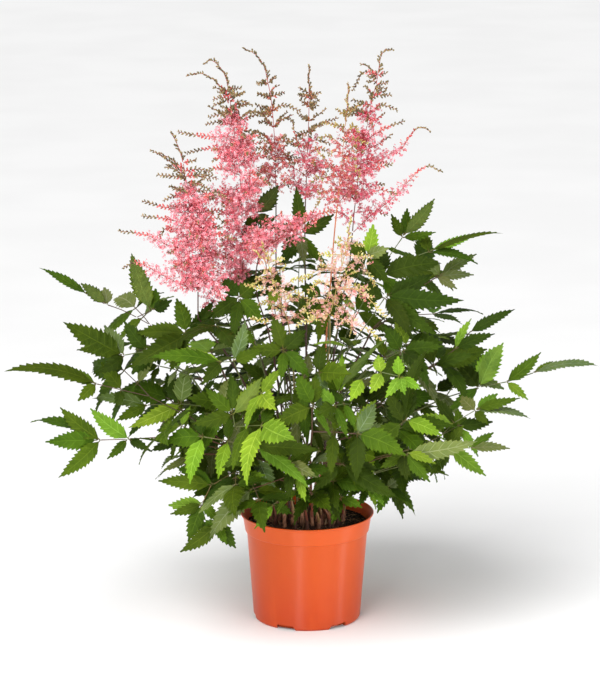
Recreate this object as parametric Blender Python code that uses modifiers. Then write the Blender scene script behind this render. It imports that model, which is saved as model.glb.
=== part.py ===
# Potted astilbe: a moulded plastic nursery pot, its potting soil, the woody
# crown of the plant, the feathery flower plumes on their stems and the
# compound leaves.  Metres, +Z up, origin under the middle of the pot, the
# front of the plant towards -Y.
import bpy
import bmesh
import math
import random
from mathutils import Vector
from mathutils.bvhtree import BVHTree

# ------------------------------------------------------------ driving sizes
POT_H = 0.137            # pot height
LIP_R = 0.0840           # outer radius of the thin flared lip
BAND_TOP_R = 0.0812      # rim band just under the lip
BAND_LOW_R = 0.0780      # rim band at its lower edge
BAND_LOW_Z = 0.1140      # height of that lower edge
BODY_TOP_R = 0.0758      # tapered body just under the band
FOOT_R = 0.0674          # outer radius of the body at the foot
WALL = 0.0018            # wall thickness
FLOOR_T = 0.0022         # floor thickness
TURN = 48                # sides of the turned shapes
NOTCHES = 6              # drainage notches round the foot
SOIL_Z = 0.1235          # level of the soil
SOIL_GAP = 0.0004
CROWN_R = 0.0520         # woody crown on the soil
CROWN_H = 0.0090
STALK_HALF = 0.0015      # half the thickness of a leaf stalk at its foot
STEM_HALF = 0.0019       # half the thickness of a flower stem at its foot
BLADE_HALF = 0.00045     # half the thickness of a leaflet
SPIKE_HALF = 0.0026      # half the thickness of a side branch of a plume
CLEAR = 0.0003           # air between neighbours

# --------------------------------------------------------- front elevation
# The stalks, leaflets and plumes are set out on a front elevation, 600 units
# wide, seen by an eye 4 m from the pot that looks 13.6 degrees down.  place()
# turns a point of that elevation and a depth in millimetres (negative towards
# the eye) into metres.
EYE = Vector((-0.0088, -3.8378, 1.2844))
TILT = math.radians(13.6)
FOCUS = 3182.0
AHEAD = Vector((0.0, math.cos(TILT), -math.sin(TILT)))
UPWARD = Vector((0.0, math.sin(TILT), math.cos(TILT)))
UNIT = 0.001257          # metres for one unit of the elevation at the pot


def place(u, v, depth):
    d = AHEAD + Vector((1, 0, 0)) * ((u - 300.0) / FOCUS) + UPWARD * ((341.5 - v) / FOCUS)
    return EYE + d * ((depth * 0.001 - EYE.y) / d.y)


# --------------------------------------------------------------- the leaves
# S: a stalk through points (u, v, depth), with what grows at its end.
# B: a leaflet, by its tip and its seen width, then how far its tip comes
# forward (-) or goes back (+) in millimetres, and its tone: 0 deep green,
# 1 mid green, 2 fresh lime, 3 grey-green underside.
def S(points, kids):
    return ("S", points, kids)


def B(u, v, w, dy=0, tone=1):
    return ("B", (u, v), w, dy, tone)


LEAVES = [
    # left side, from the top down
    ("leaf_01", 3, S([(228, 425, 0), (187, 355, 6), (150, 325, 12), (138, 318, 14)], [
        S([(122, 310, 16), (108, 305, 17)], [
            S([(87, 294, 18)], [B(39, 267, 9, 12, 1)]), B(80, 283, 12, -14, 1), B(104, 287, 12, 16, 3)]),
        S([(150, 311, 8)], [B(131, 252, 22, -10, 1), B(156, 288, 14, 14, 1), B(172, 300, 12, -8, 0)])])),
    ("leaf_02", 3, S([(238, 440, -20), (190, 375, -35), (150, 352, -45)], [
        B(124, 321, 16, 14, 0), B(132, 374, 18, -20, 0),
        S([(125, 355, -50)], [B(63, 322, 24, -10, 0), B(76, 350, 12, 12, 1), B(104, 325, 16, 20, 3), B(98, 373, 13, -22, 0)])])),
    ("leaf_03", 3, S([(250, 430, -30), (222, 370, -48), (190, 336, -60)], [
        B(128, 368, 20, -26, 0), B(136, 333, 18, 6, 1), B(176, 298, 16, 22, 1), B(214, 300, 14, 6, 0), B(170, 372, 14, -6, 0)])),
    ("leaf_04", 4, S([(240, 455, -20), (195, 420, -38), (150, 397, -48), (122, 390, -52)], [
        B(116, 407, 10, -14, 0), B(101, 362, 14, 10, 1),
        S([(97, 384, -55)], [B(5, 373, 18, -6, 1), B(60, 362, 16, 14, 1), B(78, 401, 12, -16, 1)])])),
    ("leaf_05", 4, S([(256, 462, -40), (205, 438, -68), (165, 437, -78), (130, 439, -84)], [
        B(90, 408, 16, 16, 2), B(107, 459, 9, -18, 1), B(152, 452, 9, -22, 0),
        S([(101, 440, -88)], [B(45, 442, 18, -4, 1), B(60, 409, 16, 14, 1), B(58, 478, 16, -24, 1), B(30, 418, 8, 26, 1)])])),
    ("leaf_06", 4, S([(262, 462, -55), (228, 455, -90), (204, 454, -105)], [
        B(129, 449, 9, -6, 0), B(160, 470, 9, -22, 3), B(177, 433, 16, 10, 1), B(188, 419, 14, 22, 0), B(196, 480, 14, -30, 0)])),
    ("leaf_07", 4, S([(250, 440, -50), (210, 408, -80), (182, 404, -90)], [
        B(128, 428, 15, -16, 2), B(188, 366, 18, 12, 3), B(166, 372, 14, 22, 0),
        S([(148, 405, -94)], [B(92, 398, 13, -6, 3), B(116, 421, 12, -20, 1)])])),
    ("leaf_08", 4, S([(266, 478, -62), (236, 472, -100), (214, 484, -122)], [
        B(158, 481, 15, 6, 1), B(176, 467, 13, 20, 1),
        S([(203, 502, -132)], [B(168, 505, 15, 4, 2), B(170, 514, 10, -12, 1), B(188, 542, 16, -22, 1), B(220, 523, 10, -18, 1)])])),
    ("leaf_09", 4, S([(278, 482, -66), (252, 484, -104), (230, 502, -128), (219, 521, -138)], [
        B(180, 552, 15, -14, 1), B(227, 544, 10, -18, 1), B(236, 548, 14, -4, 0), B(196, 528, 11, 8, 1)])),
    ("leaf_10", 4, S([(298, 484, -62), (280, 480, -92), (255, 488, -114)], [
        B(209, 539, 21, -18, 3), B(240, 466, 12, 14, 0), B(226, 492, 12, 10, 1)])),
    ("leaf_11", 4, S([(302, 494, -62), (288, 492, -92), (274, 504, -108)], [
        B(251, 511, 9, -6, 0), B(292, 514, 10, -8, 1), B(254, 529, 8, -16, 2)])),
    # centre, in front
    ("leaf_12", 4, S([(292, 470, -80), (252, 447, -128), (236, 428, -146), (233, 415, -152)], [
        B(262, 377, 16, -12, 2), B(205, 388, 15, 8, 1), B(192, 424, 14, -14, 1), B(230, 372, 14, 18, 1)])),
    ("leaf_13", 4, S([(310, 462, -110), (312, 432, -176), (312, 408, -204)], [
        B(273, 426, 18, -14, 1), B(297, 374, 16, 12, 1), B(316, 373, 14, 22, 1), B(333, 440, 14, -22, 1), B(351, 430, 16, -8, 1)])),
    ("leaf_14", 4, S([(296, 480, -90), (272, 462, -136), (256, 447, -158)], [
        B(321, 450, 16, -10, 1), B(309, 487, 14, -24, 2), B(222, 468, 13, -12, 1), B(240, 425, 13, 12, 0)])),
    ("leaf_15", 3, S([(264, 430, -60), (246, 392, -110), (234, 362, -134)], [
        B(263, 350, 12, -8, 1), B(245, 320, 13, 14, 3),
        S([(222, 362, -138)], [B(148, 358, 16, -14, 1), B(180, 350, 11, 6, 2), B(202, 385, 14, -24, 0)])])),
    ("leaf_16", 3, S([(294, 420, -70), (291, 384, -112), (284, 352, -140)], [
        B(309, 375, 18, -20, 1), B(281, 382, 12, -26, 1), B(248, 348, 14, -4, 1), B(272, 316, 15, 16, 1), B(306, 330, 15, 10, 0)])),
    ("leaf_17", 3, S([(338, 440, -90), (350, 405, -150), (362, 380, -178)], [
        B(350, 401, 13, -14, 2),
        S([(380, 373, -184)], [B(370, 393, 13, -16, 2), B(378, 355, 12, 10, 2),
                               S([(398, 376, -188)], [B(385, 398, 11, -14, 2), B(405, 393, 10, -8, 2), B(398, 356, 11, 8, 2), B(421, 389, 9, 0, 2)])])])),
    ("leaf_18", 3, S([(334, 430, -80), (338, 394, -140)], [
        B(343, 355, 14, 6, 2), B(384, 337, 9, -14, 1), B(318, 362, 13, 16, 1), B(322, 402, 12, -18, 0)])),
    ("leaf_19", 4, S([(352, 462, -80), (382, 438, -132), (402, 424, -156)], [
        B(385, 390, 13, 4, 0), B(412, 378, 12, 16, 0), B(431, 348, 14, 28, 0), B(356, 453, 18, -22, 1), B(442, 436, 14, -14, 2)])),
    ("leaf_20", 3, S([(362, 462, -60), (408, 450, -84), (437, 438, -94), (452, 425, -98)], [
        B(411, 418, 14, -14, 2), B(436, 398, 12, 12, 0),
        S([(474, 411, -102)], [B(498, 392, 16, 8, 2), B(520, 399, 13, -6, 1), B(528, 420, 9, -16, 3), B(488, 424, 10, -20, 1), B(461, 396, 14, 18, 3)])])),
    ("leaf_21", 4, S([(350, 474, -90), (380, 458, -146), (402, 454, -172)], [
        B(478, 441, 20, -10, 3), B(430, 482, 13, -22, 1), B(407, 480, 14, -14, 0), B(380, 468, 10, -4, 1), B(436, 464, 10, -16, 2)])),
    ("leaf_22", 4, S([(364, 476, -56), (415, 459, -88), (448, 449, -102)], [
        B(486, 476, 14, -18, 2), B(464, 425, 12, 10, 1), B(430, 476, 12, -10, 0), S([(470, 448, -106)], [B(510, 449, 9, -6, 3), B(494, 432, 9, 10, 1)])])),
    ("leaf_23", 4, S([(324, 462, -84), (340, 464, -118)], [
        B(380, 470, 12, 4, 0), B(384, 481, 13, -10, 0), B(399, 498, 16, -20, 0), B(312, 492, 12, -16, 0), B(366, 446, 13, 16, 0)])),
    ("leaf_24", 3, S([(356, 420, -36), (395, 388, -50), (433, 366, -58)], [
        B(476, 354, 12, -8, 0), B(420, 330, 12, 14, 0),
        S([(455, 349, -62)], [B(471, 319, 11, 10, 2), B(495, 334, 12, -6, 0), S([(470, 332, -60)], [B(515, 309, 11, 6, 0)])])])),
    ("leaf_25", 3, S([(350, 448, -26), (400, 418, -32), (445, 398, -32), (477, 388, -30)], [
        B(456, 363, 18, 12, 0), B(504, 342, 22, -8, 2), B(448, 412, 11, -18, 1),
        S([(506, 382, -26)], [B(541, 352, 13, 8, 1), B(528, 400, 9, -14, 2),
                              S([(533, 373, -24)], [B(598, 369, 11, -8, 3), B(554, 357, 8, 10, 1)])])])),
    ("leaf_26", 2, S([(326, 420, -30), (346, 355, -56), (384, 299, -76)], [
        B(458, 300, 26, -12, 0), B(433, 273, 24, 14, 0), B(437, 327, 22, -22, 0), B(414, 342, 20, -32, 0), B(352, 282, 16, 10, 0)])),
    ("leaf_27", 2, S([(324, 410, 10), (346, 335, 14), (382, 267, 14)], [
        S([(402, 238, 16)], [B(407, 208, 12, 12, 1), B(435, 198, 16, -6, 1), B(436, 232, 9, -14, 1), B(391, 214, 10, 2, 1)]),
        S([(410, 258, 10), (428, 252, 8)], [B(473, 226, 22, 8, 2), B(503, 240, 14, -10, 1), B(478, 262, 10, -16, 1), B(424, 232, 12, 14, 1)])])),
    ("leaf_28", 2, S([(332, 415, 30), (372, 330, 40), (414, 291, 42), (437, 277, 42)], [
        B(423, 259, 14, 10, 3), B(477, 254, 12, 4, 3), B(474, 275, 10, -12, 3), B(457, 289, 9, -20, 3), B(404, 276, 10, -6, 1)])),
    ("leaf_29", 2, S([(320, 415, -20), (336, 335, -32), (352, 290, -36), (366, 258, -34)], [
        B(373, 224, 14, 8, 2), B(389, 248, 12, -6, 3), B(390, 284, 15, -20, 0), B(344, 244, 14, 6, 1), B(340, 284, 14, -14, 0)])),
    ("leaf_30", 2, S([(290, 400, 40), (273, 300, 34), (262, 245, 30), (257, 215, 30)], [
        B(278, 185, 17, -8, 0), B(242, 236, 12, -12, 0), B(274, 232, 13, 10, 0)])),
    ("leaf_31", 2, S([(300, 390, 20), (298, 300, 10), (300, 238, 4)], [
        B(305, 268, 18, -24, 3), B(283, 262, 18, -14, 0), B(268, 226, 15, 8, 0), B(326, 262, 16, -12, 1), B(334, 214, 14, 12, 0), B(296, 186, 13, 22, 0)])),
    ("leaf_32", 3, S([(272, 400, -20), (252, 330, -48), (240, 300, -56)], [
        B(262, 322, 20, -20, 1), B(256, 284, 18, 6, 1), B(222, 278, 14, 10, 0), B(208, 318, 18, -16, 0), B(232, 340, 15, -30, 0)])),
    ("leaf_33", 2, S([(314, 400, -40), (318, 340, -76), (322, 300, -84)], [
        B(352, 330, 18, -20, 0), B(290, 322, 17, -10, 0), B(318, 345, 16, -32, 1), B(350, 296, 15, 4, 0), B(300, 286, 14, 12, 1)])),
    ("leaf_34", 2, S([(334, 410, -30), (366, 370, -70), (400, 352, -92)], [
        B(442, 346, 17, -14, 1), B(424, 372, 16, -26, 0), B(384, 326, 15, 8, 0), B(372, 392, 14, -20, 0)])),
]

# leaves behind and inside, each by the bearing it leans to (0 front, 90
# right, 180 back), how far out and how high its blade starts, and its size
ROUND_LEAVES = [
    ("leaf_35", 180, 0.100, 0.360, 1.00), ("leaf_36", 205, 0.150, 0.300, 1.05),
    ("leaf_37", 152, 0.150, 0.300, 1.05), ("leaf_38", 232, 0.140, 0.330, 0.95),
    ("leaf_39", 126, 0.140, 0.330, 0.95), ("leaf_40", 192, 0.150, 0.215, 1.00),
    ("leaf_41", 165, 0.140, 0.235, 1.00), ("leaf_42", 222, 0.145, 0.220, 0.95),
    ("leaf_43", 138, 0.145, 0.225, 0.95), ("leaf_44", 246, 0.110, 0.375, 0.85),
    ("leaf_45", 112, 0.110, 0.375, 0.85), ("leaf_46", 180, 0.145, 0.290, 1.00),
    ("leaf_47", 212, 0.060, 0.430, 0.85), ("leaf_48", 150, 0.060, 0.430, 0.85),
]

# --------------------------------------------------------------- the plumes
# name, base ring, axis from below to the tip, side branches (axis height v
# where each leaves, its points out to the tip), and bloom: 0 buds, 1 pink,
# 2 cream.
PLUMES = [
    ("plume_01", 1, [(243, 317, -6), (243, 281, -8), (242, 245, -10), (242, 212, -10), (240, 174, -10), (236, 143, -8),
                     (232, 115, -6), (229, 92, -5), (226, 78, -4), (219, 66, -3), (211, 60, -2), (204, 64, -2)],
     [(288, [(226, 276, -30), (212, 290, -40), (207, 318, -46)], 1), (262, [(264, 250, -20), (283, 236, -30)], 1),
      (250, [(226, 262, -44), (218, 272, -50)], 1), (240, [(256, 252, -36), (262, 262, -40)], 1),
      (222, [(222, 222, -50)], 1), (212, [(262, 205, 30)], 1), (200, [(214, 196, 26), (204, 200, 34)], 1),
      (192, [(262, 178, -36), (270, 184, -42)], 1), (176, [(214, 168, -34), (205, 172, -40)], 1),
      (166, [(262, 156, 20), (276, 160, 30)], 1), (154, [(214, 148, 20), (186, 153, 34)], 1),
      (146, [(256, 136, -24), (268, 142, -30)], 1), (138, [(205, 136, -24), (178, 132, -34)], 1),
      (126, [(252, 116, 16), (267, 112, 22)], 0), (124, [(218, 122, 16), (206, 124, 22)], 0),
      (112, [(209, 117, -16)], 0), (104, [(240, 101, -10), (252, 105, -16)], 0),
      (100, [(214, 105, 8)], 0), (92, [(213, 79, -8), (199, 73, -12), (187, 76, -12)], 0), (90, [(241, 88, 8)], 0)], 1),
    ("plume_02", 1, [(276, 280, 26), (276, 212, 30), (276, 185, 32), (275, 165, 34), (275, 147, 34), (274, 130, 34), (272, 105, 34),
                     (270, 92, 34), (267, 78, 34), (264, 66, 34), (255, 54, 34), (243, 48, 34)],
     [(190, [(288, 178, 10), (284, 182, 6)], 1), (178, [(262, 170, 54), (258, 176, 60)], 1),
      (168, [(288, 158, 54), (292, 166, 60)], 1), (158, [(260, 148, 14), (252, 150, 6)], 1),
      (148, [(284, 136, 20), (290, 142, 12)], 0), (140, [(258, 132, 48), (250, 136, 56)], 0),
      (128, [(286, 118, 50), (294, 122, 58)], 0), (122, [(258, 112, 22), (243, 115, 14)], 0),
      (112, [(284, 105, 20), (300, 111, 12)], 0), (104, [(256, 105, 46)], 0), (98, [(284, 92, 44)], 0),
      (96, [(258, 94, 26)], 0), (84, [(276, 76, 28)], 0), (84, [(257, 83, 40)], 0)], 0),
    ("plume_03", 0, [(305, 260, 44), (305, 215, 48), (306, 189, 50), (307, 165, 50), (308, 140, 50), (309, 112, 50), (309, 84, 50), (309, 65, 50)],
     [(196, [(318, 186, 26), (324, 192, 20)], 1), (188, [(292, 178, 70), (288, 186, 78)], 1),
      (176, [(322, 164, 72), (328, 170, 80)], 1), (166, [(297, 142, 34), (292, 120, 28)], 1),
      (156, [(320, 148, 30), (328, 152, 22)], 1), (146, [(296, 132, 68)], 0),
      (134, [(320, 124, 66), (338, 118, 76)], 0), (122, [(298, 114, 36)], 0), (114, [(326, 109, 42)], 0),
      (108, [(300, 100, 60)], 0), (103, [(319, 100, 60)], 0), (99, [(298, 95, 40)], 0), (97, [(320, 92, 40)], 0), (94, [(299, 88, 58)], 0)], 0),
    ("plume_04", 1, [(330, 290, -20), (334, 238, -24), (337, 208, -24), (339, 190, -24), (341, 172, -22), (343, 149, -20), (346, 120, -18), (348, 100, -16), (348, 83, -16)],
     [(204, [(322, 198, -46), (316, 206, -54)], 1), (196, [(354, 188, -2), (358, 196, 4)], 1),
      (188, [(320, 176, 2), (312, 182, 10)], 1), (178, [(356, 168, -46), (360, 176, -52)], 1),
      (170, [(324, 158, -44), (318, 152, -50)], 1), (158, [(356, 146, 6), (362, 152, 12)], 1),
      (148, [(328, 136, 2), (320, 138, 8)], 1), (138, [(354, 126, -40), (358, 132, -46)], 0),
      (128, [(330, 124, -38), (322, 122, -44)], 0), (116, [(336, 109, -8)], 0), (112, [(358, 106, -6)], 0)], 0),
    ("plume_05", 1, [(350, 262, 6), (354, 214, 8), (357, 188, 10), (360, 168, 10), (363, 145, 10), (368, 120, 10), (372, 100, 10), (376, 85, 10),
                     (379, 68, 10), (381, 56, 10), (386, 49, 10), (393, 50, 10)],
     [(233, [(371, 215, -8), (388, 202, -14), (403, 188, -16), (412, 177, -16), (428, 166, -16), (442, 172, -16)], 1),
      (203, [(364, 196, -16), (380, 190, -24), (396, 194, -28)], 1), (196, [(372, 186, 30), (384, 184, 38)], 1),
      (188, [(344, 180, 26), (340, 186, 32)], 1), (178, [(376, 168, -20), (392, 164, -26)], 1),
      (172, [(386, 156, 8), (402, 148, 4), (410, 136, 2), (420, 127, 0), (430, 131, 0)], 1),
      (164, [(346, 156, -16), (342, 162, -22)], 1), (152, [(382, 142, 32), (392, 134, 36)], 1),
      (142, [(386, 128, -14), (404, 121, -20)], 1), (136, [(352, 128, 34)], 1), (126, [(384, 114, 26)], 1),
      (116, [(355, 108, -12)], 0), (112, [(382, 105, -10), (397, 110, -16)], 0), (106, [(353, 100, 24)], 0),
      (96, [(391, 95, 20)], 0), (92, [(365, 86, -6)], 0), (86, [(388, 82, -4)], 0),
      (74, [(364, 72, 4), (353, 90, 0)], 0), (76, [(386, 73, 18)], 0)], 1),
    ("plume_06", 2, [(198, 318, -62), (198, 285, -60), (197, 262, -58), (194, 239, -56), (190, 212, -54), (188, 195, -52), (185, 172, -50), (182, 158, -50), (178, 146, -50), (171, 132, -50)],
     [(292, [(172, 280, -84), (150, 268, -96), (136, 262, -100), (123, 268, -102)], 1), (280, [(216, 284, -88), (222, 300, -96)], 1),
      (270, [(178, 262, -20), (172, 272, -12)], 1), (262, [(222, 252, -24), (236, 262, -14)], 1),
      (254, [(165, 244, -84), (146, 235, -92), (119, 231, -96)], 1), (244, [(220, 234, -88), (234, 240, -94)], 1),
      (236, [(166, 228, -24), (160, 236, -18)], 1), (226, [(162, 218, -76), (142, 216, -84)], 1),
      (220, [(218, 210, -20), (230, 214, -12)], 1), (212, [(160, 206, -44), (143, 201, -42)], 1),
      (204, [(216, 192, -80), (226, 198, -88)], 1), (196, [(170, 186, -72)], 0), (190, [(206, 174, -30)], 0),
      (178, [(158, 175, -66)], 0), (170, [(165, 158, -36), (151, 150, -34)], 0), (164, [(196, 160, -64)], 0)], 1),
    ("plume_07", 2, [(330, 345, -104), (330, 316, -106), (335, 295, -106), (339, 278, -106), (344, 258, -104), (348, 238, -102), (351, 217, -100)],
     [(316, [(350, 322, -128), (366, 328, -138), (381, 340, -144)], 2), (312, [(312, 318, -128), (296, 326, -138)], 2),
      (304, [(352, 318, -84), (350, 336, -80)], 2), (300, [(312, 300, -84), (302, 312, -78)], 2),
      (290, [(358, 290, -126), (372, 302, -136), (385, 317, -142)], 2), (284, [(318, 282, -126), (308, 292, -134)], 2),
      (272, [(324, 268, -82), (300, 281, -74)], 2), (266, [(360, 262, -84), (375, 285, -80)], 2),
      (256, [(372, 257, -122)], 2), (254, [(319, 254, -120)], 2), (244, [(364, 245, -88)], 2), (242, [(338, 238, -86)], 2)], 2),
    ("plume_08", 2, [(292, 345, -92), (288, 322, -94), (281, 304, -94), (275, 286, -92), (270, 270, -90), (266, 256, -90), (262, 242, -90)],
     [(322, [(270, 322, -116), (251, 318, -124)], 2), (318, [(306, 312, -114), (318, 320, -122)], 2),
      (308, [(268, 302, -70), (253, 306, -62)], 2), (304, [(300, 296, -72), (312, 302, -64)], 2),
      (292, [(258, 288, -112), (245, 285, -118)], 2), (290, [(294, 280, -112), (306, 276, -118)], 2),
      (276, [(256, 278, -72)], 2), (274, [(286, 266, -74)], 2), (264, [(284, 258, -110)], 2), (256, [(254, 250, -84)], 2)], 2),
]
PLUMES.append(
    ("plume_09", 2, [(268, 330, -44), (256, 286, -50), (262, 251, -54), (274, 242, -56), (283, 236, -58), (300, 226, -58), (318, 214, -56), (334, 211, -54)],
     [(246, [(262, 236, -70), (252, 228, -76)], 1), (240, [(270, 228, -44), (266, 218, -36)], 1),
      (235, [(280, 222, -72), (282, 212, -80)], 1), (231, [(282, 240, -44), (276, 236, -34)], 1),
      (228, [(296, 238, -70), (294, 242, -76)], 1), (222, [(300, 212, -48)], 1), (219, [(316, 226, -68)], 1)], 1))

# ------------------------------------------------------- where stalks begin
# Rings of footings on the crown: flower stems near the middle, the low outer
# leaves near its edge.
RINGS = [(0.0085, 3), (0.0180, 9), (0.0275, 14), (0.0370, 19), (0.0460, 19)]


def bearing(p):
    return math.atan2(p.x, -p.y)


def crown_top(r):
    r = max(0.0, r - 0.0024)
    return SOIL_Z + CLEAR + CROWN_H * math.sqrt(max(0.0, 1.0 - (r / CROWN_R) ** 2)) + CLEAR


def give_footings():
    slots = []
    for ring, (r, n) in enumerate(RINGS):
        for i in range(n):
            a = 2 * math.pi * (i + 0.5 * (ring % 2)) / n
            slots.append([ring, a, Vector((r * math.sin(a), -r * math.cos(a), crown_top(r))), None])
    wants = [(name, ring, bearing(place(*axis[2]))) for name, ring, axis, side, kind in PLUMES]
    wants += [(name, ring, bearing(place(*tree[1][-1]))) for name, ring, tree in LEAVES]
    wants += [(name, 4 if h < 0.25 else 3, math.radians(az)) for name, az, reach, h, size in ROUND_LEAVES]
    got = {}
    for name, ring, a in wants:
        best = min((s for s in slots if s[3] is None),
                   key=lambda s: abs(s[0] - ring) * 0.4 + abs(math.atan2(math.sin(s[1] - a), math.cos(s[1] - a))))
        best[3] = name
        got[name] = best[2]
    return got


# ------------------------------------------------------------- the skeleton
# A plant piece is grown as one open ribbon that forks: every stalk is a strip
# of triangles, and every leaflet or flower spike starts on the end or the side of
# the stalk that carries it.  Solidify then gives the ribbon its thickness.
class Ribbon:
    def __init__(self):
        self.co, self.faces, self.half = [], [], []
        self.stalks, self.blades, self.spikes, self.limbs = [], [], [], []
        self.pace = 1.0

    def point(self, p, half):
        self.co.append(Vector(p))
        self.half.append(half)
        return len(self.co) - 1

    def across(self, a, b, c, s, hw, half):
        l = self.point(c - s * hw, half)
        r = self.point(c + s * hw, half)
        self.faces += [(a, b, r), (a, r, l)]
        return l, r


def side_of(d, facing, last=None):
    s = d.cross(facing) if last is None else last - d * last.dot(d)
    if s.length < 1e-3:
        s = d.orthogonal()
    return s.normalized()


def grow_stalk(rib, a, b, pts, hw0, hw1, kids, facing, side=None):
    first = (rib.co[a] + rib.co[b]) * 0.5
    line = [first] + list(pts)
    n = len(line)
    radii = []
    for i in range(1, n):
        ahead = line[min(i + 1, n - 1)] - line[i - 1]
        d = ahead.normalized()
        side = side_of(d, facing, side)
        if i == 1 and side.dot(rib.co[b] - rib.co[a]) < 0:
            side = -side
        hw = hw0 + (hw1 - hw0) * i / (n - 1)
        radii.append(hw)
        a, b = rib.across(a, b, line[i], side, hw, hw)
    node = line[-1]
    d = (line[-1] - line[-2]).normalized()
    rib.stalks.append((line, [hw0] + radii))
    if not kids:
        return
    aimed = []
    for kid in kids:
        goal = kid[1] if kid[0] == "B" else kid[1][0]
        k = (goal - node)
        aimed.append((k.normalized().dot(d), k.dot(side), kid))
    end = max(aimed, key=lambda t: t[0])
    if end[0] < 0.35:
        end = None
    left = sorted([t for t in aimed if t is not end and t[1] < 0], key=lambda t: t[0])
    right = sorted([t for t in aimed if t is not end and t[1] >= 0], key=lambda t: t[0])
    step = max(0.0026, 2.2 * hw1) * rib.pace
    starts = []
    for j in range(max(len(left), len(right))):
        c = node + d * step * (j + 1)
        l, r = rib.across(a, b, c, side, hw1, hw1)
        if j < len(left):
            starts.append((a, l, left[j][2]))
        if j < len(right):
            starts.append((r, b, right[j][2]))
        a, b = l, r
    if end is not None:
        starts.append((a, b, end[2]))
    for a, b, kid in starts:
        if kid[0] == "S":
            grow_stalk(rib, a, b, kid[1], max(0.0006, hw1 * 0.92), max(0.0006, hw1 * 0.8), kid[2], facing)
        elif kid[0] == "B":
            grow_blade(rib, a, b, kid)
        else:
            grow_spike(rib, a, b, kid, facing)


def grow_blade(rib, a, b, kid):
    tip, width, side, tone = kid[1], kid[2], kid[3], kid[4]
    base = (rib.co[a] + rib.co[b]) * 0.5
    axis = tip - base
    d = axis.normalized()
    s = side - d * side.dot(d)
    s = s.normalized() if s.length > 1e-4 else d.orthogonal().normalized()
    up = s.cross(d)
    if up.z < 0:
        up = -up
    rib.blades.append((base, tip, s, up, width, tone))
    if s.dot(rib.co[b] - rib.co[a]) < 0:
        s = -s
    first = len(rib.faces)
    c = base + axis * 0.40 + up * (0.30 * axis.length * 0.24)
    l, r = rib.across(a, b, c, s, width * 0.5, BLADE_HALF)
    t = rib.point(tip, BLADE_HALF)
    rib.faces.append((l, r, t))
    rib.limbs.append((first, len(rib.faces), ((l, 0.4), (r, 0.4), (t, 1.0)), up, "B", len(rib.blades) - 1))


def grow_spike(rib, a, b, kid, facing):
    pts, width, bloom = kid[1], kid[2], kid[3]
    base = (rib.co[a] + rib.co[b]) * 0.5
    line = [base] + list(pts)
    rib.spikes.append((line, width, bloom))
    if len(line) == 2:
        line = [base, base.lerp(line[1], 0.45), line[1]]
    side = None
    n = len(line)
    first = len(rib.faces)
    moved = []
    for i in range(1, n - 1):
        d = (line[i + 1] - line[i - 1]).normalized()
        side = side_of(d, facing, side)
        if i == 1 and side.dot(rib.co[b] - rib.co[a]) < 0:
            side = -side
        hw = width * 0.5 * (1.0 - 0.45 * (i - 1) / max(1, n - 2))
        a, b = rib.across(a, b, line[i], side, hw, min(SPIKE_HALF, hw))
        moved += [(a, i / (n - 1)), (b, i / (n - 1))]
    t = rib.point(line[-1], 0.0008)
    rib.faces.append((a, b, t))
    moved.append((t, 1.0))
    rib.limbs.append((first, len(rib.faces), tuple(moved), AHEAD.copy(), "F", len(rib.spikes) - 1))


# ------------------------------------------------------- walls and crossings
def walls(rib, extra):
    """Closed walls round the ribbon, and the ribbon face that each is from."""
    n = len(rib.co)
    normal = [Vector() for _ in rib.co]
    for f in rib.faces:
        p = [rib.co[i] for i in f]
        nf = (p[1] - p[0]).cross(p[2] - p[0])
        if nf.length > 0:
            nf.normalize()
        for i, q in enumerate(f):
            one, two = p[(i + 1) % 3] - p[i], p[(i + 2) % 3] - p[i]
            normal[q] += nf * (one.angle(two) if one.length > 1e-9 and two.length > 1e-9 else 0.0)
    co = []
    for sign in (1, -1):
        for i, p in enumerate(rib.co):
            m = normal[i].normalized() if normal[i].length > 1e-6 else Vector((0, 0, 1))
            co.append(p + m * sign * (rib.half[i] + extra))
    faces = [tuple(f) for f in rib.faces] + [tuple(i + n for i in reversed(f)) for f in rib.faces]
    owner = list(range(len(rib.faces))) * 2
    used = {}
    for k, f in enumerate(rib.faces):
        for i, j in zip(f, f[1:] + f[:1]):
            used[(i, j)] = k
    for (i, j), k in list(used.items()):
        if (j, i) not in used:
            faces.append((j, i, i + n, j + n))
            owner.append(k)
    return co, faces, owner


def tree_of(co, faces):
    return BVHTree.FromPolygons(co, faces, epsilon=0.0)


def space(rib, extra):
    co, faces, owner = walls(rib, extra)
    return tree_of(co, faces)


def triangles(rib):
    co, faces, owner = walls(rib, 0.0)
    return sum(len(f) - 2 for f in faces)


def crossings(rib):
    co, faces, owner = walls(rib, 0.0)
    tree = tree_of(co, faces)
    out = []
    for i, j in tree.overlap(tree):
        f, g = owner[i], owner[j]
        if i < j and f != g and not set(rib.faces[f]) & set(rib.faces[g]):
            out.append((f, g))
    return sorted(set(out))


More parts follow.
